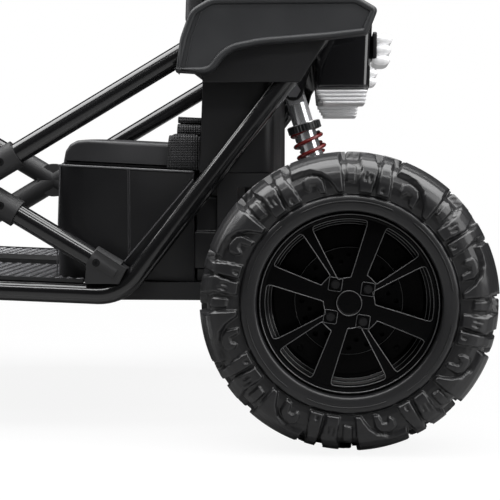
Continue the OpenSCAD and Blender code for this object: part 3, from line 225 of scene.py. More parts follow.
def webbing():
    """Black woven belt: waves across the belt times those along it, on its flat and its upright runs."""
    material = grained("webbing", (0.032, 0.032, 0.034), 0.6)
    tree = material.node_tree
    place = add_node(tree, "TexCoord")
    waves = []
    for direction in "XYZ":
        wave = add_node(tree, "TexWave", [("bands_direction", direction)], Scale=WEAVE_SCALE)
        link(place, "Object", wave, "Vector")
        waves.append(wave)
    add = add_node(tree, "Math", [("operation", "ADD")])
    link(waves[1], "Fac", add, 0)
    link(waves[2], "Fac", add, 1)
    product = add_node(tree, "Math", [("operation", "MULTIPLY")])
    link(waves[0], "Fac", product, 0)
    link(add, 0, product, 1)
    bump = add_node(tree, "Bump", Strength=1.0, Distance=WEAVE_DEPTH)
    link(product, 0, bump, "Height")
    link(bump, "Normal", tree.nodes["Principled BSDF"], "Normal")
    return material


def make_materials():
    """One material for each slot of the record, and three paler, glossier ones for details whose colour
    paints in highlights: the seat's trim lines, the floor's bars and the rim's edge lines.
    """
    lit = (1, 1, 1, 1)
    grained("frame_tube", (0.006, 0.006, 0.0066), 0.2, coat=0.8)
    grained("joint_plastic", (0.022, 0.022, 0.023), 0.5, 0.3, 1400)
    grained("fastener", (0.4, 0.4, 0.42), 0.35, 0.1, metallic=1.0)
    grained("rim_fastener", (0.02, 0.02, 0.021), 0.2, 0.02, metallic=0.5)
    # Far paler than seat_plastic: the seat box's trim wires carry painted highlight lines, with a real glossy
    # coat
    grained("trim_highlight_line", (0.09, 0.09, 0.095), 0.25, 0.02, coat=0.6)
    # Far paler than floor_plate: the raised bars are real, their pale colour is a painted highlight
    grained("floor_bar_highlight", (0.2, 0.2, 0.21), 0.22, 0.02, metallic=0.3, coat=0.5)
    grained("floor_plate", (0.02, 0.02, 0.021), 0.38, 0.15)
    grained("chassis_steel", (0.014, 0.014, 0.015), 0.4, 0.1, 700)
    grained("seat_plastic", (0.008, 0.008, 0.009), 0.36, 0.3, 1500)
    grained("seat_cover", (0.03, 0.03, 0.032), 0.45, 0.15, 1100, kind="cells")
    webbing()
    grained("battery_case", (0.06, 0.06, 0.062), 0.5, 0.2)
    grained("black_plastic", (0.007, 0.007, 0.008), 0.38, 0.25, 1300)
    grained("pod_plastic", (0.026, 0.027, 0.029), 0.45, 0.2, 1400)
    grained("gloss_shell", (0.008, 0.008, 0.009), 0.12, 0.01, 400, coat=0.8)
    # The faint emission makes the fins glow though they are no lamp: a painted highlight
    grained(
        "silver_trim", (0.8, 0.8, 0.81), 0.3, 0.01, 400, metallic=0.15, spread=0.06,
        Emission_Color=lit, Emission_Strength=0.06,
    )
    grained(
        "lamp_lens", (0.95, 0.95, 0.96), 0.12, 0.02, 300, spread=0.02, Transmission_Weight=0.2, IOR=1.49,
        Emission_Color=lit, Emission_Strength=0.15,
    )
    grained("zinc_steel", (0.45, 0.45, 0.46), 0.32, 0.08, metallic=1.0)
    grained("grip_plastic", (0.02, 0.02, 0.021), 0.6, 0.5, 1100, kind="cells")
    grained("horn_plastic", (0.3, 0.015, 0.012), 0.4, 0.15, 1100)
    grained("red_switch", (0.45, 0.015, 0.012), 0.28, 0.05)
    grained("gearbox_plastic", (0.04, 0.04, 0.042), 0.5, 0.3, 1100)
    grained("chrome_damper", (0.78, 0.78, 0.8), 0.16, 0.01, 300, metallic=0.85, spread=0.05)
    grained("spring_red", (0.17, 0.012, 0.011), 0.25, 0.05, coat=0.4)
    grained(
        "tyre_rubber", (0.012, 0.012, 0.013), 0.38, 0.15, 1300, kind="cells", coat=0.32, Coat_Roughness=0.12,
    )
    # Far paler than rim_black: the rim's edge lines carry painted highlights, on top of the real reflection
    # of their glossy coat
    grained("rim_highlight_line", (0.06, 0.06, 0.062), 0.12, 0.002, 300, coat=1.0, Specular_IOR_Level=0.8)
    grained("rim_black", (0.0022, 0.0022, 0.0024), 0.24, 0.02, Specular_IOR_Level=0.1)


def dress_nodes():
    """Every CAD node takes its slot's material, but for the black screws of the braces."""
    for name, node in frame["nodes"].items():
        slot = "rim_fastener" if name == "joint_screws" else SLOT_OF[name]
        node.data.materials.clear()
        node.data.materials.append(bpy.data.materials[slot])


# Mesh helpers: lengths are in mm, but for the points that are read from a mesh or a box


def moved(x, y, z):
    """Translation by lengths in mm."""
    return Matrix.Translation((x * MM, y * MM, z * MM))


def smoothed(mesh):
    """The mesh, now with smooth shading."""
    mesh.polygons.foreach_set("use_smooth", [True] * len(mesh.polygons))
    return mesh


def new_mesh(name, points, faces, smooth=True):
    mesh = bpy.data.meshes.new(name)
    mesh.from_pydata([tuple(c * MM for c in p) for p in points], [], faces)
    mesh.validate()
    return smoothed(mesh) if smooth else mesh


def new_object(name, mesh, slot):
    """Object of a mesh, which takes the slot's material if it has none."""
    piece = bpy.data.objects.new(name, mesh)
    bpy.context.scene.collection.objects.link(piece)
    if not mesh.materials:
        mesh.materials.append(bpy.data.materials[slot])
    return piece


def stand_for(piece, node, body):
    """The piece takes the node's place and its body."""
    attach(piece, body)
    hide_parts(node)


def polar(r, degrees):
    """The point at a radius and angle."""
    return r * math.cos(math.radians(degrees)), r * math.sin(math.radians(degrees))


def grid_faces(rows, columns, close_rows=False):
    """Faces between rows of points, each row closed on itself."""
    faces = []
    for i in range(rows if close_rows else rows - 1):
        for j in range(columns):
            a = i * columns + j
            b = i * columns + (j + 1) % columns
            c = (i + 1) % rows * columns
            faces.append((a, b, c + (j + 1) % columns, c + j))
    return faces


def mesh_of(work, name):
    """Mesh of a finished edit mesh."""
    mesh = bpy.data.meshes.new(name)
    work.to_mesh(mesh)
    work.free()
    return mesh


def mesh_join(name, meshes):
    """One mesh of several."""
    work = bmesh.new()
    for mesh in meshes:
        work.from_mesh(mesh)
    return mesh_of(work, name)


def flipped(mesh, name):
    """The mesh mirrored in Y, for the other side."""
    work = bmesh.new()
    work.from_mesh(mesh)
    bmesh.ops.scale(work, vec=(1, -1, 1), verts=work.verts)
    bmesh.ops.reverse_faces(work, faces=work.faces)
    return mesh_of(work, name)


def shade_by_angle(mesh, degrees=35):
    """Smooth shading with the sharp edges kept."""
    smoothed(mesh)
    work = bmesh.new()
    work.from_mesh(mesh)
    for edge in work.edges:
        if len(edge.link_faces) == 2 and edge.calc_face_angle(0) > math.radians(degrees):
            edge.smooth = False
    work.to_mesh(mesh)
    work.free()


def baked(name, curve):
    """The mesh of a curve."""
    piece = bpy.data.objects.new(name, curve)
    bpy.context.scene.collection.objects.link(piece)
    bpy.context.view_layer.update()
    mesh = bpy.data.meshes.new_from_object(piece.evaluated_get(bpy.context.evaluated_depsgraph_get()))
    bpy.data.objects.remove(piece)
    bpy.data.curves.remove(curve)
    mesh.name = name
    return mesh


def outline_mesh(name, loops, depth, bevel, place):
    """A plate with round edges, of outlines in its XY plane: the first is outside, the others are holes."""
    curve = bpy.data.curves.new(name, "CURVE")
    curve.dimensions = "2D"
    curve.fill_mode = "BOTH"
    curve.extrude = (depth / 2 - bevel) * MM
    curve.bevel_depth = bevel * MM
    curve.bevel_resolution = 2
    curve.offset = -bevel * MM
    for loop in loops:
        spline = curve.splines.new("POLY")
        spline.points.add(len(loop) - 1)
        for point, (x, y) in zip(spline.points, loop):
            point.co = (x * MM, y * MM, 0, 1)
        spline.use_cyclic_u = True
    mesh = baked(name, curve)
    mesh.transform(place)
    return mesh


def round_wire(name, path, radius, closed=False, place=Matrix.Identity(4)):
    """The mesh of a round wire along the path, which is drawn in the frame of a place."""
    curve = bpy.data.curves.new(name, "CURVE")
    curve.dimensions = "3D"
    curve.bevel_depth = radius * MM
    curve.bevel_resolution = 3
    spline = curve.splines.new("POLY")
    spline.points.add(len(path) - 1)
    for point, co in zip(spline.points, path):
        point.co = (*(place @ (Vector(co) * MM)), 1)
    spline.use_cyclic_u = closed
    if not closed:
        curve.use_fill_caps = True
    return baked(name, curve)


def resample(points, step):
    """Points at even steps along a line, with the distance along it."""
    points = np.array(points, float)
    along = np.concatenate([[0], np.cumsum(np.linalg.norm(np.diff(points, axis=0), axis=1))])
    even = np.linspace(0, along[-1], int(along[-1] / step) + 1)
    return np.stack([np.interp(even, along, points[:, k]) for k in (0, 1)], axis=1), even


def filleted(points, most=0.45):
    """Closed outline of (x, y, cut): each corner turns in a small curve that starts the cut before it."""
    result = []
    count = len(points)
    for k in range(count):
        x, y, cut = points[k]
        corner = np.array((x, y))
        before = np.array(points[k - 1][:2]) - corner
        after = np.array(points[(k + 1) % count][:2]) - corner
        a = corner + before * min(most, cut / np.linalg.norm(before))
        b = corner + after * min(most, cut / np.linalg.norm(after))
        for t in (0, 0.25, 0.5, 0.75, 1):
            result.append(tuple((1 - t) ** 2 * a + 2 * t * (1 - t) * corner + t * t * b))
    return result


def left_normals(loop):
    """Unit normals of a closed outline, to the left of its run."""
    tangent = np.roll(loop, -1, axis=0) - np.roll(loop, 1, axis=0)
    tangent /= np.linalg.norm(tangent, axis=1)[:, None]
    return np.stack([-tangent[:, 1], tangent[:, 0]], axis=1)


# Tyres

TYRE_R = 165.0
TYRE_HALF_WIDTH = 65.0
# Carcass section from the outer bead to the middle of the tread, as radius and outward distance
CARCASS = (
    (100.3, 40), (100.3, 57.5), (100.9, 59.6), (102.4, 60.8), (105, 61.4), (110, 61.8), (114, 61.6),
    (116.8, 60.8), (117.8, 59.4), (118.3, 57.2), (119.4, 56.6), (121, 57.2), (127, 58), (134, 57.8),
    (140.5, 56.2), (146, 52.8), (150.8, 47.4), (154, 40), (155.6, 32), (156, 22), (156, 0),
)
SECTION_STEP = 1.25
TREAD_REPEATS = 8
REPEAT = 360 / TREAD_REPEATS
COLUMNS_PER_REPEAT = 80
FIRST_HOOK = 16.4
MM_PER_DEGREE = 2.5
# The radius where the lugs begin, and the distance along the section in which they rise
LUG_START = 119.0
LUG_RISE = 2.5
# The lugs grow over the shoulder, from a distance along the section and over a length, by a factor
SHOULDER_START = 38
SHOULDER_LENGTH = 22
SHOULDER_GROWTH = 8.8 / 6.4
# Raised and sunk shapes of one tread repeat: height, edge softness, and the outline as degrees and distance
# along the section
LUGS = (
    (6.6, 0.7, ((-8.4, 29), (-4.2, 29), (0, 27.5), (4, 22.5), (7.5, 14.5), (10.5, 3), (13.2, 3),
                (13, 20), (12.2, 40), (13.4, 60), (8, 70), (1, 66), (-6.5, 66), (-8.2, 44))),
    (4.0, 0.5, ((-4.5, 22), (-2.1, 24.5), (2.3, 22), (4.1, 17), (4.2, 3.5), (1.6, 4.5), (0.6, 14.5),
                (-1.6, 15), (-3.2, 9), (-4.9, 13))),
    (5.8, 0.6, ((21, 3), (27.2, 3), (28.6, 26), (27.2, 40), (26.6, 62), (20, 64), (20.2, 40),
                (21.8, 24))),
    (5.8, 0.6, ((29.6, 3), (36.2, 3), (35.2, 18), (33.8, 31), (34.4, 60), (29.4, 62), (29.8, 36),
                (29.6, 24))),
    (3.0, 0.6, ((14.8, 14), (18.8, 12), (19, 30), (15.2, 36))),
    (7.0, 1.0, ((-5.5, 69), (7.5, 73), (10, 90), (-3, 90))),
    (7.0, 1.0, ((15, 70), (24, 66), (26.5, 88), (17.5, 91))),
    (7.0, 1.0, ((29, 65), (36.5, 68), (38, 88), (31, 87))),
    (-2.2, 0.4, ((22.8, 14), (23.7, 14), (24.3, 22), (23.4, 22))),
    (-2.2, 0.4, ((25.0, 13), (25.9, 13), (26.3, 20), (25.4, 20))),
    (-2.4, 0.4, ((31.4, 6), (32.9, 6), (32.7, 11), (31.7, 11))),
)
# Ribs on the bead ring and arcs by each hook of the tread: angles, and (radius, outward distance)
BEAD_RIBS = ((8, 52), (66, 118), (131, 171), (186, 233), (246, 291), (304, 349))
BEAD_RIB_PLACE = (111.5, 62.4)
HOOK_ARCS = ((-36, -15), (-12, 7))
HOOK_ARC_PLACE = (119.7, 57.4)


def inside_distance(x, y, polygon):
    """Distance to the polygon's edge, positive inside."""
    near = np.full(x.shape, 1e9)
    inside = np.zeros(x.shape, bool)
    for (x0, y0), (x1, y1) in zip(polygon, polygon[1:] + polygon[:1]):
        dx, dy = x1 - x0, y1 - y0
        t = np.clip(((x - x0) * dx + (y - y0) * dy) / (dx * dx + dy * dy), 0, 1)
        near = np.minimum(near, np.hypot(x - x0 - t * dx, y - y0 - t * dy))
        crosses = (y0 > y) != (y1 > y)
        if dy:
            inside ^= crosses & (x < x0 + (y - y0) * dx / dy)
    return np.where(inside, near, -near)


def lug_height(degrees, along):
    """Height of the tread over the carcass at an angle in one repeat and a distance along the section."""
    height = np.zeros(degrees.shape)
    cut = np.zeros(degrees.shape)
    for top, soft, outline in LUGS:
        for turn in (-REPEAT, 0, REPEAT):
            polygon = [((d + turn) * MM_PER_DEGREE, v) for d, v in outline]
            distance = inside_distance(degrees * MM_PER_DEGREE, along, polygon)
            share = np.clip(distance / (2 * soft) + 0.5, 0, 1)
            share = share * share * (3 - 2 * share)
            if top > 0:
                height = np.maximum(height, top * share)
            else:
                cut = np.minimum(cut, top * share)
    over_shoulder = np.clip((along - SHOULDER_START) / SHOULDER_LENGTH, 0, 1)
    return (height + cut) * (1 + over_shoulder * (SHOULDER_GROWTH - 1))


def make_tyre_mesh():
    """Carcass with its lugs, outer half and inner half half a repeat apart."""
    half, along = resample(CARCASS, SECTION_STEP)
    start = along[np.argmax(half[:, 0] > LUG_START)]
    columns = TREAD_REPEATS * COLUMNS_PER_REPEAT
    angle = np.arange(columns) * 360 / columns
    tangent = np.gradient(half, axis=0)
    tangent /= np.linalg.norm(tangent, axis=1)[:, None]
    normal = np.stack([-tangent[:, 1], tangent[:, 0]], axis=1)
    # Each repeat is drawn from a little before its hook
    lead = 10
    halves = []
    for side, hook in ((1, FIRST_HOOK), (-1, FIRST_HOOK + REPEAT / 2)):
        local = np.mod(hook - angle + lead, REPEAT) - lead
        d, v = np.meshgrid(local, along - start)
        height = np.where(v > 0, lug_height(d, v), 0) * np.clip(v / LUG_RISE, 0, 1)
        halves.append((half[:, :1] + normal[:, :1] * height, side * (half[:, 1:] + normal[:, 1:] * height)))
    (outer_r, outer_out), (inner_r, inner_out) = halves
    r = np.minimum(np.concatenate([outer_r, inner_r[::-1][1:]]), TYRE_R)
    out = np.clip(np.concatenate([outer_out, inner_out[::-1][1:]]), -TYRE_HALF_WIDTH, TYRE_HALF_WIDTH)
    a = np.radians(angle)
    points = np.stack([r * np.cos(a), -out, r * np.sin(a)], axis=2).reshape(-1, 3)
    return new_mesh("tyre_left", points, grid_faces(len(r), columns, close_rows=True))


def bead_lines():
    """Thin broken ribs on the tyre's smooth bead ring, and arcs at the foot of its lugs."""
    arcs = [(start, end, *BEAD_RIB_PLACE) for start, end in BEAD_RIBS]
    for k in range(TREAD_REPEATS):
        hook = FIRST_HOOK + k * REPEAT
        arcs += [(hook + start, hook + end, *HOOK_ARC_PLACE) for start, end in HOOK_ARCS]
    meshes = []
    for start, end, r, out in arcs:
        steps = int((end - start) / 2)
        path = []
        for k in range(steps + 1):
            x, z = polar(r, start + (end - start) * k / steps)
            path.append((x, -out, z))
        meshes.append(round_wire("bead_line", path, 0.55))
    return mesh_join("bead_lines", meshes)


# Rims

SPOKE_FACE = 40.4
SPOKE_DEPTH = 13.0
WIDE_SPOKES = [70.5 + 90 * k for k in range(4)]
THIN_SPOKES = [30.5 + 90 * k for k in range(4)]
HUB_R = 22.0
WINDOW_R = 92.0
BOLT_R = 25.3
BOLT_ANGLES = [36.5 + 90 * k for k in range(4)]
WEB_SCREW_R = 76.0
# Sections as (radius, outward distance)
BARREL = (
    (99.7, -55), (99.7, 48.5), (99.2, 49.5), (98.4, 49.9), (97.4, 49.9), (96.6, 49.2), (96.2, 47), (95, 41),
    (91.9, 40), (91.6, 27), (89, 25.5), (88.6, 18), (86, 16.5), (85.6, 8), (83, 6), (82.6, 2), (82.6, -55),
    (99.7, -55),
)
HUB = (
    (27.6, -12), (27.6, 36.4), (26.9, 37.2), (26.1, 37.2), (25.5, 36.4), (25.1, 35.6), (15.2, 35.6),
    (14.8, 41.6), (14.2, 42.6), (13.2, 43), (12.3, 42.6), (11.8, 42.1), (0.01, 42.1),
)
WEB = ((30, 4), (84, 4), (84, 0), (30, 0), (30, 4))


def spoke_half(wide, r):
    """Half the spoke's width at a radius."""
    share = (r - HUB_R) / (WINDOW_R - HUB_R)
    if wide:
        return 7.4 + 3.1 * share
    return 2.2 + 3.8 * max(0.0, share) ** 1.3


def spoke_edge(angle, wide, r, sign):
    """Angle of a spoke's edge at a radius, in radians."""
    return math.radians(angle) + sign * math.asin(spoke_half(wide, r) / r)


def window_outline(wide_first, start, end, inner):
    """Window between two spokes, from an inner radius to the rim, with rounded corners."""
    def at(r, a):
        return (r * math.cos(a), r * math.sin(a))

    radii = (inner, 50, 70)
    steps = 8
    first = spoke_edge(start, wide_first, WINDOW_R, 1)
    last = spoke_edge(end, not wide_first, WINDOW_R, -1)
    points = [(*at(r, spoke_edge(start, wide_first, r, 1)), 1.5) for r in radii]
    points.append((*at(WINDOW_R, first), 6.5))
    for k in range(1, steps):
        points.append((*at(WINDOW_R, first + (last - first) * k / steps), 4.0))
    points.append((*at(WINDOW_R, last), 6.5))
    points += [(*at(r, spoke_edge(end, not wide_first, r, -1)), 1.5) for r in radii[::-1]]
    points.append((*at(inner, math.radians((start + end) / 2)), 3.0))
    return filleted(points)


def windows():
    """Small windows stop at the bolt pads and large ones at the hub's ring."""
    loops = []
    for thin, wide in zip(THIN_SPOKES, WIDE_SPOKES):
        loops.append(window_outline(False, thin, wide, 36))
        loops.append(window_outline(True, wide, thin + 90, 28))
    return loops


def circle_loop(r, x=0.0, y=0.0, steps=96):
    """Outline of a circle about a point."""
    return [
        (x + r * math.cos(2 * math.pi * k / steps), y + r * math.sin(2 * math.pi * k / steps))
        for k in range(steps)
    ]


def pad_loop(angle, reach):
    """Rounded square round a bolt, about its own middle."""
    return filleted([(*polar(reach, angle + quarter), 2.2) for quarter in (0, 90, 180, 270)])


def facing(out):
    """Place of a plate drawn in XY so that it faces outward, with its middle at a distance out."""
    return moved(0, -out, 0) @ Matrix.Rotation(math.radians(90), 4, "X")


def moved_out(mesh, r, degrees):
    """The mesh moved from the axle to a radius and angle."""
    x, y = polar(r, degrees)
    mesh.transform(moved(x, 0, y))
    return mesh


def turned_mesh(name, profile, steps=96):
    """Profile of (radius, outward) turned about the wheel's axle, with outward along -Y."""
    angles = [2 * math.pi * k / steps for k in range(steps)]
    points = [(r * math.cos(a), -out, r * math.sin(a)) for r, out in profile for a in angles]
    mesh = new_mesh(name, points, grid_faces(len(profile), steps))
    shade_by_angle(mesh)
    return mesh


def ring_wire(r, out, radius=0.5):
    """Thin raised ring round the axle."""
    path = [(x, -out, y) for x, y in circle_loop(r)]
    return round_wire("ring", path, radius, True)


def brake_disc():
    """Drilled disc behind the spokes."""
    loops = [circle_loop(60), circle_loop(29)]
    loops += [circle_loop(2.6, *polar(52, k * 22.5), 16) for k in range(16)]
    loops += [circle_loop(2.2, *polar(44, k * 22.5 + 11.25), 16) for k in range(16)]
    return outline_mesh("disc", loops, 3, 0.5, facing(12))


def make_rim_mesh():
    """Barrel with lip, spoked face, hub with its bolt pads and cap, web and drilled disc."""
    face_middle = SPOKE_FACE - SPOKE_DEPTH / 2
    parts = [
        turned_mesh("barrel", BARREL),
        outline_mesh("face", [circle_loop(95.2)] + windows(), SPOKE_DEPTH, 0.9, facing(face_middle)),
        turned_mesh("hub", HUB),
        turned_mesh("web", WEB),
        brake_disc(),
    ]
    for k, angle in enumerate(BOLT_ANGLES):
        pad_and_bore = [pad_loop(angle, 10.4), circle_loop(5.4, steps=24)]
        pad = outline_mesh("pad", pad_and_bore, 14, 0.8, facing(33.6))
        parts.append(moved_out(pad, BOLT_R, angle))
        screw = outline_mesh("screw", [circle_loop(3.2, steps=24)], 5, 0.9, facing(5))
        parts.append(moved_out(screw, WEB_SCREW_R, 45 + 90 * k))
    mesh = mesh_join("rim_left", parts)
    shade_by_angle(mesh)
    return mesh


def make_rim_highlight_lines():
    """Edge lines of the windows, the pads, the hub, the cap and the barrel's steps, glossy and far paler than
    the rim, so that their colour paints in the rim's highlights.
    """
    parts = [
        ring_wire(97.2, 49.7, 0.7), ring_wire(89.1, 25.4), ring_wire(86.1, 16.4), ring_wire(26.5, 37.0),
        ring_wire(13.6, 42.7), ring_wire(59.6, 13.2, 0.35),
    ]
    for loop in windows():
        path = [(x, -(SPOKE_FACE - 0.3), y) for x, y in loop]
        parts.append(round_wire("edge", path, 0.6, True))
    for angle in BOLT_ANGLES:
        x, y = polar(BOLT_R, angle)
        path = [(a + x, -SPOKE_FACE, b + y) for a, b in pad_loop(angle, 10.2)]
        parts.append(round_wire("pad_edge", path, 0.45, True))
    return smoothed(mesh_join("rim_highlight_lines_left", parts))


def make_wheels():
    """Tyres and rims in place of the CAD ones, mirrored on the right."""
    tyre = smoothed(mesh_join("tyre_left", [make_tyre_mesh(), bead_lines()]))
    left = {"tyre": tyre, "rim": make_rim_mesh(), "edges": make_rim_highlight_lines()}
    right = {kind: flipped(mesh, kind + "_right") for kind, mesh in left.items()}
    slots = {"tyre": "tyre_rubber", "rim": "rim_black", "edges": "rim_highlight_line"}
    for wheel in WHEELS:
        low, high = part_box(wheel + "_tyre")
        for kind, mesh in (left if wheel.endswith("left") else right).items():
            piece = new_object(f"{wheel}_{kind}_moulded", mesh, slots[kind])
            piece.location = (low + high) / 2
            if kind == "edges":
                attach(piece, wheel + "_wheel")
            else:
                stand_for(piece, f"{wheel}_{kind}", wheel + "_wheel")


# Shock absorbers

SHOCK_LEAN = math.radians(17)
# Sections as (radius, distance from the upper eye)
COLLAR = ((16, 40.4), (20.2, 41.4), (20.2, 49.6), (16, 50.6))
SLEEVE = (
    (10.4, 50), (12.2, 50.6), (12.2, 78), (12.9, 78.6), (12.9, 82), (12.2, 82.6), (12.2, 116), (13, 116.8),
    (13, 121), (12.2, 122), (12.2, 134), (10.4, 135),
)


def shock_place(side):
    """Frame of a shock absorber at its upper eye, with z down along it."""
    y = -245 if side == "left" else 245
    return moved(385.6, y, 403.4) @ Matrix.Rotation(math.pi - SHOCK_LEAN, 4, "Y")


def make_springs():
    """Red coil springs between the collar and the rod's seat, in place of the CAD ones."""
    coils, steps = 10, 28
    first, last, radius, wire = 45, 176, 17, 4.5
    # The last half turn is closed: it makes up this share of the turns and of the rise
    flat, flat_rise = 0.5 / coils, 0.03
    for side in ("left", "right"):
        place = shock_place(side)
        path = []
        for k in range(coils * steps + 1):
            turn = 2 * math.pi * k / steps
            share = k / (coils * steps)
            if share < 1 - flat:
                rise = (1 - flat_rise) * share / (1 - flat)
            else:
                rise = 1 - flat_rise * (1 - share) / flat
            along = first + (last - first) * rise
            path.append((-radius * math.cos(turn), -radius * math.sin(turn), along))
        mesh = smoothed(round_wire("coil_spring", path, wire / 2, place=place))
        piece = new_object(f"coil_spring_{side}", mesh, "spring_red")
        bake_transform(piece)
        node = f"shock_spring_{side}"
        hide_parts(node)


def collar_mesh():
    """Knurled ring round a shock absorber, in its own frame."""
    teeth, steps = 30, 6
    points = []
    for radius, s in COLLAR:
        for k in range(teeth * steps):
            valley = k % steps < steps / 2 and radius > 20
            r = radius - 0.7 if valley else radius
            a = 2 * math.pi * k / (teeth * steps)
            points.append((r * math.cos(a), r * math.sin(a), s))
    return new_mesh("collar", points, grid_faces(len(COLLAR), teeth * steps), smooth=False)


def sleeve_mesh():
    """Round sleeve with its rings, in the shock absorber's own frame."""
    steps = 48
    angles = [2 * math.pi * k / steps for k in range(steps)]
    points = [(r * math.cos(a), r * math.sin(a), s) for r, s in SLEEVE for a in angles]
    mesh = new_mesh("sleeve", points, grid_faces(len(SLEEVE), steps))
    shade_by_angle(mesh)
    return mesh


def make_shock_details():
    """Knurled collar and chrome sleeve on each shock absorber's upper half."""
    for side in ("left", "right"):
        for name, mesh, slot in (
            ("collar", collar_mesh(), "black_plastic"),
            ("sleeve", sleeve_mesh(), "chrome_damper"),
        ):
            mesh.transform(shock_place(side))
            piece = new_object(f"shock_{name}_{side}", mesh, slot)
            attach(piece, f"shock_body_{side}")


# Cushions

SEAT_TILT = math.atan(8 / 158)
CHANNEL_DEPTH = 3.5
CHANNEL_WIDTH = 4


def seat_place():
    """Frame of the seat box's top: x to the rear, z up from it."""
    return moved(110, 0, 316) @ Matrix.Rotation(SEAT_TILT, 4, "Y")


def crowned(x, y, z, half, crown):
    """Height of a block's point when its top swells by the crown in the middle."""
    a, b, c = half
    return z + crown * (1 - (x / a) ** 4) * (1 - (y / b) ** 2) * (z + c) / (2 * c)


def rounded_block(name, half, radii, crown=0.0, bow=0.0, channels=(), cuts=47):
    """Block whose edges are round by a radius for each axis, with a crowned top and sewn channels across it.

    The bow narrows it towards both ends.
    """
    work = bmesh.new()
    bmesh.ops.create_cube(work, size=2)
    bmesh.ops.subdivide_edges(work, edges=work.edges, cuts=cuts, use_grid_fill=True)
    a, _, c = half
    for vert in work.verts:
        core, out = Vector(), Vector()
        for axis, (size, radius) in enumerate(zip(half, radii)):
            place = vert.co[axis] * size
            core[axis] = max(radius - size, min(size - radius, place))
            out[axis] = (place - core[axis]) / radius
        if out.length > 0:
            out.normalize()
        x, y, z = (core[axis] + out[axis] * radii[axis] for axis in range(3))
        z = crowned(x, y, z, half, crown)
        for middle in channels:
            z -= CHANNEL_DEPTH * math.exp(-(((x - middle) / CHANNEL_WIDTH) ** 2)) * (z + c) / (2 * c)
        vert.co = (x * MM, y * (1 - bow * (x / a) ** 2) * MM, z * MM)
    return smoothed(mesh_of(work, name))


def piping(name, half, radius, height):
    """Welt round a cushion at a height of its section."""
    a, b = half
    corner = 16
    path = []
    for cx, cy, start in ((a, b, 0), (-a, b, 90), (-a, -b, 180), (a, -b, 270)):
        sx, sy = math.copysign(1, cx), math.copysign(1, cy)
        for k in range(7):
            x, y = polar(corner, start + 15 * k)
            path.append((cx - sx * corner + x, cy - sy * corner + y, height))
    return round_wire(name, path, radius, True)


def seat_pad_mesh(half, edge, crown):
    """Pad with square sides, a bold round front and a crowned top, from one section along the kart."""
    a, b, c = half
    corners = ((-a, -c, 1.5), (a, -c, 1.5), (a, c, 6), (-a, c, 27))
    loop = filleted(corners, most=0.86)
    section = resample(loop + loop[:1], 2.5)[0][:-1]
    inward = left_normals(section)
    # Stations across the kart, as y and how far the section shrinks there
    side = []
    for k in range(6, -1, -1):
        drop, out = polar(edge, 15 * k)
        side.append((b - edge + out, edge - drop))
    middle = [(y, 0.0) for y in np.linspace(b - edge, edge - b, 40)[1:-1]]
    stations = side + middle + [(-y, shrink) for y, shrink in reversed(side)]
    points = []
    for y, shrink in stations:
        for x, z in section + inward * shrink:
            points.append((x, y, crowned(x, y, z, half, crown)))
    columns = len(section)
    faces = grid_faces(len(stations), columns)
    faces.append(tuple(range(columns))[::-1])
    faces.append(tuple(range((len(stations) - 1) * columns, len(stations) * columns)))
    mesh = new_mesh("seat_pad", points, faces)
    shade_by_angle(mesh, 50)
    return mesh


def make_cushions():
    """Seat pad with square sides and a round front, and a back pad with sewn channels and a welt."""
    mesh = seat_pad_mesh((82.8, 245.2, 15.5), 5, 4.6)
    mesh.transform(seat_place() @ moved(81.2, 0, 15.9))
    pad = new_object("seat_pad", mesh, "seat_cover")
    stand_for(pad, "seat_cushion", "frame")

    low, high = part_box("back_cushion")
    half = ((high.z - low.z) / 2 / MM, 244.5, 12.8)
    base = rounded_block("back_pad", half, (12, 12, 12), crown=3.6, channels=(-28, 12, 46))
    welt = piping("back_welt", (half[0] - 1.5, half[1] - 1.5), 1.6, -7)
    mesh = smoothed(mesh_join("back_pad", [base, welt]))
    lean = math.atan(3.6 / 99)
    turn = Matrix.Rotation(lean, 4, "Y") @ Matrix.Rotation(math.radians(-90), 4, "Y")
    centre = Vector(((low.x + high.x) / 2 + 2.4 * MM, 0, (low.z + high.z) / 2))
    mesh.transform(Matrix.Translation(centre) @ turn)
    pad = new_object("back_pad", mesh, "seat_cover")
    stand_for(pad, "back_cushion", "frame")


# Belts, in a frame on the seat box's top with x = 0 along the straps' middle

BELT_SIDE = 249.2
BELT_TOP = 40.6
# A strap's section, as shares of its width and thickness
STRAP_SECTION = (
    (-0.5, 0.0), (-0.492, 0.5), (-0.25, 0.5), (0, 0.5), (0.25, 0.5), (0.492, 0.5),
    (0.5, 0.0), (0.492, -0.5), (0.25, -0.5), (0, -0.5), (-0.25, -0.5), (-0.492, -0.5),
)


def strap_mesh(name, path, width, thickness):
    """Flat strap along a path in the YZ plane, with round edges, centred on x = 0."""
    points = []
    path = [Vector((0, y, z)) for y, z in path]
    for k, point in enumerate(path):
        ahead = path[min(k + 1, len(path) - 1)] - path[max(k - 1, 0)]
        up = Vector((1, 0, 0)).cross(ahead).normalized()
        ripple = 0.25 * math.sin(k * 1.9)
        for across, lift in STRAP_SECTION:
            rise = lift * thickness + ripple * abs(across)
            points.append(point + Vector((across * width, 0, 0)) + up * rise)
    columns = len(STRAP_SECTION)
    faces = grid_faces(len(path), columns)
    faces.append(tuple(range(columns))[::-1])
    last = (len(path) - 1) * columns
    faces.append(tuple(range(last, last + columns)))
    return new_mesh(name, points, faces)


def lap_strap(sign):
    """Strap up one side of the cushion, round its edge and inward on top of it."""
    foot, radius, reach = 1.5, 12, 22
    path = [(sign * BELT_SIDE, foot + k * (BELT_TOP - radius - foot) / 8) for k in range(9)]
    for k in range(1, 13):
        y, z = polar(radius, 90 * k / 12)
        path.append((sign * (BELT_SIDE - radius + y), BELT_TOP - radius + z))
    for k in range(1, 25):
        path.append((sign * (BELT_SIDE - radius + (reach - BELT_SIDE + radius) * k / 24), BELT_TOP))
    return strap_mesh("strap", path, 40, 2.2)


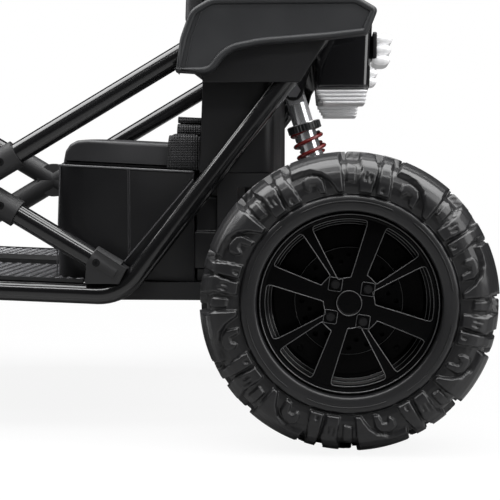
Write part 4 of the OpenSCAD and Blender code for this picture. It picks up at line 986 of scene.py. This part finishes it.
def stitches(sign):
    """Four rows of short stitches across one strap."""
    meshes = []
    z = BELT_TOP + 1.1
    for row in range(4):
        y = sign * (60 + 9 * row)
        for k in range(9):
            x = -16 + 4 * k
            meshes.append(round_wire("stitch", [(x, y, z), (x + 2.4, y, z)], 0.35))
    return meshes


def folded_strap():
    """The belt's loose end, folded in three on the seat."""
    outer, length, turn_r = -135, 95, 4.5
    fold = []
    for layer in range(3):
        z = BELT_TOP + 5 + 2 * turn_r * layer
        run = [(outer + length * k / 12, z) for k in range(13)]
        fold += run if layer % 2 else run[::-1]
        if layer < 2:
            at_outer = layer % 2 == 0
            for k in range(1, 8):
                y, rise = polar(turn_r, -90 + 180 * k / 8)
                fold.append((outer - y if at_outer else outer + length + y, z + turn_r + rise))
    return strap_mesh("folded_strap", fold, 42, 8)


def make_belts():
    """Lap belts over the cushion's edges with thick shoulders, rows of stitches and a folded loose end."""
    meshes = []
    for sign in (-1, 1):
        meshes.append(lap_strap(sign))
        meshes += stitches(sign)
        shoulder = rounded_block("shoulder", (20, 13, 20.5), (10, 8, 11), cuts=23)
        shoulder.transform(moved(0, sign * (BELT_SIDE - 10.5), 23.5))
        meshes.append(shoulder)
    meshes.append(folded_strap())
    mesh = mesh_join("lap_belt_straps", meshes)
    mesh.transform(seat_place() @ moved(144.4, 0, 0))
    piece = new_object("lap_belt_straps", mesh, "webbing")
    stand_for(piece, "lap_belts", "frame")


# Shells and panels

WELD = 0.01 * MM
# The photograph's seat box reaches further forward at its top than the CAD's
SEAT_FRONT_SHIFT = 6 * MM
SEAT_CORNER_R = 14
# Nodes whose edges are rounded, with the radius
ROUNDED = {
    "seat_box": 2.2, "back_box": 2.6, "inner_panels": 1.0, "front_cowl": 2.0, "dashboard": 2.0,
    "controller_box": 2.0,
}
# Side pod's outline, from its lower front corner over the top, with the cut of each corner
POD = (
    (251, 421.8, 2), (256, 461, 6), (268, 494, 8), (292, 508, 8), (460, 508, 6), (484, 494, 6), (472, 464, 5),
    (428, 459, 8), (350, 453, 8), (319, 447, 8), (307, 439, 6), (295, 423, 6), (284, 419.5, 4),
)


def node_shape(node):
    """Edit mesh of the node's own shape in the kart's frame."""
    source = frame["nodes"][node]
    work = bmesh.new()
    work.from_mesh(source.data)
    work.transform(source.matrix_world)
    bmesh.ops.remove_doubles(work, verts=work.verts, dist=WELD)
    return work


def sharp_edges(work):
    limit = math.radians(28)
    return [edge for edge in work.edges if len(edge.link_faces) == 2 and edge.calc_face_angle(0) > limit]


def round_off(work, edges, radius, segments):
    bmesh.ops.bevel(
        work, geom=edges, offset=radius * MM, offset_type="OFFSET", segments=segments, profile=0.5,
        affect="EDGES", clamp_overlap=True,
    )


def is_front_corner(edge):
    """Whether it is one of the seat box's two outer upright edges at the front."""
    a, b = (vert.co for vert in edge.verts)
    beside = min(abs(a.y), abs(b.y)) > 254.5 * MM and max(a.x, b.x) < 111 * MM
    return beside and abs(a.z - b.z) > 20 * MM


def shape_seat_front(work):
    """The seat box's front leans forward to its top and has round upright corners."""
    bottom, height = 176 * MM, 140 * MM
    for vert in work.verts:
        if vert.co.x < 125 * MM:
            vert.co.x -= SEAT_FRONT_SHIFT * (vert.co.z - bottom) / height
    round_off(work, [edge for edge in sharp_edges(work) if is_front_corner(edge)], SEAT_CORNER_R, 8)


def round_edges(node, radius):
    """The node's own shape with round edges, in its place."""
    work = node_shape(node)
    bmesh.ops.dissolve_limit(work, angle_limit=math.radians(2), verts=work.verts, edges=work.edges)
    if node == "seat_box":
        shape_seat_front(work)
    round_off(work, sharp_edges(work), radius, 3)
    mesh = mesh_of(work, node + "_rounded")
    shade_by_angle(mesh, 32)
    stand_for(new_object(node + "_rounded", mesh, SLOT_OF[node]), node, "frame")


def make_seat_trim():
    """Flange round the seat box's top edge, and on each side a seam, a corner line and a slanted strip: thin
    wires in a pale glossy colour that paints in the highlights on these edges.
    """
    parts = []
    for side in (-1, 1):
        y, y_corner, y_strip = (side * out for out in (255.4, 246, 257.6))
        rim = [(x, y, 315.2 - (x - 110) * math.tan(SEAT_TILT)) for x in range(104, 269, 6)]
        parts.append(round_wire("flange", rim, 1.3))
        for x in (188.2, 190.4):
            seam = [(x, y, z) for z in (182, 311)]
            parts.append(round_wire("seam", seam, 0.3))
        corner = [(99.9, y_corner, 178), (104.9, y_corner, 314)]
        parts.append(round_wire("corner", corner, 0.9))
        strip = [(184, y_strip, 200), (267, y_strip, 298)]
        parts.append(round_wire("strip", strip, 1.1))
    piece = new_object("seat_highlight_trim", mesh_join("seat_highlight_trim", parts), "trim_highlight_line")
    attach(piece, "frame")


def make_boots():
    """Corner boots that end on top of the rail tube in place of the ones that wrap round it."""
    work = node_shape("corner_boots")
    cut = bmesh.ops.bisect_plane(
        work, geom=work.verts[:] + work.edges[:] + work.faces[:], dist=WELD,
        plane_co=(0, 0, 176 * MM), plane_no=(0, 0, 1), clear_inner=True,
    )
    rim = [piece for piece in cut["geom_cut"] if isinstance(piece, bmesh.types.BMEdge)]
    bmesh.ops.holes_fill(work, edges=rim, sides=0)
    mesh = mesh_of(work, "boots_cut")
    shade_by_angle(mesh, 32)
    stand_for(new_object("boots_cut", mesh, "joint_plastic"), "corner_boots", "frame")


def make_under_plates():
    """Belly plate under the seat box and skirt below the back box, which close gaps by the rear chassis."""
    parts = []
    for half, middle in (
        ((75, 243, 1.2), (196, 0, 160)),
        ((1.5, 180, 30), (304, 0, 274)),
    ):
        plate = rounded_block("plate", half, (1, 3, 1), cuts=5)
        plate.transform(moved(*middle))
        parts.append(plate)
    piece = new_object("under_plates", mesh_join("under_plates", parts), "black_plastic")
    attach(piece, "frame")


def make_pods():
    """Side pods with round edges and a raised lip all round that catches the light."""
    loop = filleted(POD)
    plate = outline_mesh("pod", [loop], 12, 2.5, facing(302.1))
    # The outline runs clockwise, so its left is outside
    drawn_in = np.array(loop) - left_normals(loop) * 4.5
    lip = [(x, -306.8, z) for x, z in drawn_in]
    crease = [(262, -308, 425), (270, -308.2, 462), (284, -308, 500)]
    parts = [plate, round_wire("lip", lip, 4.2, True), round_wire("crease", crease, 0.8)]
    left = mesh_join("pod_left", parts)
    shade_by_angle(left, 40)
    for side, mesh in (("left", left), ("right", flipped(left, "pod_right"))):
        piece = new_object(f"pod_{side}_moulded", mesh, "pod_plastic")
        stand_for(piece, f"side_pod_{side}", "frame")


def make_tail():
    """Tail shell with a bowed face, round rear edges and a rear that leans in at its foot."""
    low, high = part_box("tail_shell")
    half = (high - low) / 2
    foot_lean = 4 * MM
    mesh = rounded_block("tail_skin", half / MM, (8, 8, 3), bow=0.02, cuts=39)
    for vert in mesh.vertices:
        if vert.co.x > 0:
            vert.co.x -= foot_lean * (half.z - vert.co.z) / (2 * half.z) * vert.co.x / half.x
    mesh.transform(Matrix.Translation((low + high) / 2))
    stand_for(new_object("tail_skin", mesh, "gloss_shell"), "tail_shell", "frame")


def make_tail_lamps():
    """Three-lobed lamps, each on a black back."""
    lenses, backs = [], []
    for side in (-1, 1):
        y = side * 210
        for k in range(3):
            lobe = rounded_block("lobe", (10.6, 42, 6.1), (9, 7, 6), cuts=15)
            lobe.transform(moved(492.6 - 1.2 * (2 - k), y, 440 + 12.1 * k))
            lenses.append(lobe)
        back = rounded_block("back", (2.6, 43, 16), (1.5, 3, 3), cuts=15)
        back.transform(moved(482.2, y, 457))
        backs.append(back)
    lens = new_object("tail_lenses", mesh_join("tail_lenses", lenses), "lamp_lens")
    stand_for(lens, "tail_lamps", "frame")
    back = new_object("tail_lamp_backs", mesh_join("tail_lamp_backs", backs), "black_plastic")
    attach(back, "frame")


def make_fins():
    """Stacked silver fins under the tail, with dark gaps between them; their material glows faintly, a
    painted highlight.
    """
    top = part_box("fin_blocks")[1].z / MM
    pitch, count = 4.5, 4
    parts = []
    for side in (-1, 1):
        y = side * 214
        for k in range(count):
            front = 413 + k * 2.6
            rear = 473.5 - k * 0.8
            half = ((rear - front) / 2, 44, 1.6)
            fin = rounded_block("fin", half, (1.4, 3, 1.4), cuts=15)
            fin.transform(moved((front + rear) / 2, y, top - (k + 0.5) * pitch))
            parts.append(fin)
        core = rounded_block("core", (20, 32, 8), (2, 2, 2), cuts=7)
        core.transform(moved(443, y, top - 8.8))
        parts.append(core)
    mesh = smoothed(mesh_join("tail_fins", parts))
    stand_for(new_object("tail_fins", mesh, "silver_trim"), "fin_blocks", "frame")


def make_shells():
    """Everything that is fixed to the frame but the seat and the floor's bars."""
    for node, radius in ROUNDED.items():
        round_edges(node, radius)
    make_seat_trim()
    make_pods()
    make_boots()
    make_under_plates()
    make_tail()
    make_tail_lamps()
    make_fins()


# Floor pattern

FLOOR_RAKE = math.radians(2.1)
PAN_TOP = 15.25
SPINE_HALF = 54
# The floor narrows from its wide rear part to its nose between these two x
WIDE_X, NOSE_X = -135, -245
WIDE_HALF, NOSE_HALF = 268, 158
BAR_PITCH_X, BAR_PITCH_Y = 13, 9.5
BAR_LEAN = 38


def has_bar(x, y):
    """No bar is where the floor narrows, on its spine, past its edges or under the pedal."""
    if NOSE_X < x < WIDE_X:
        return False
    if abs(y) < SPINE_HALF or abs(y) > (WIDE_HALF if x > WIDE_X else NOSE_HALF):
        return False
    return not (70 < y < 130 and -330 < x < -300)


def make_floor_pattern():
    """Raised anti-slip bars on the floor pan, in rows that lean both ways, far paler than the pan so that
    their colour paints in their highlights.
    """
    points, faces = [], []
    for i in range(-28, 11):
        for j in range(-29, 30):
            x, y = i * BAR_PITCH_X, j * BAR_PITCH_Y
            if has_bar(x, y):
                add_bar(points, faces, x, y, math.radians(BAR_LEAN if (i + j) % 2 else -BAR_LEAN))
    mesh = new_mesh("floor_pattern", points, faces, smooth=False)
    mesh.transform(moved(0, 0, 168.8) @ Matrix.Rotation(FLOOR_RAKE, 4, "Y"))
    piece = new_object("floor_pattern", mesh, "floor_bar_highlight")
    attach(piece, "frame")


def add_bar(points, faces, x, y, lean):
    """One low bar with sloped sides and no bottom."""
    first = len(points)
    for half_l, half_w, lift in ((3.9, 1.7, 0), (2.8, 0.9, 1.2)):
        for sx, sy in ((-1, -1), (1, -1), (1, 1), (-1, 1)):
            u, v = sx * half_l, sy * half_w
            points.append((
                x + u * math.cos(lean) - v * math.sin(lean),
                y + u * math.sin(lean) + v * math.cos(lean),
                PAN_TOP + lift,
            ))
    faces.append((first + 4, first + 5, first + 6, first + 7))
    for k in range(4):
        n = (k + 1) % 4
        faces.append((first + k, first + n, first + 4 + n, first + 4 + k))


add_camera()
add_light()
add_floor()
make_materials()
dress_nodes()
make_wheels()
make_springs()
make_shock_details()
make_cushions()
make_belts()
make_shells()
make_floor_pattern()

bpy.context.scene.view_settings.view_transform = "Standard"
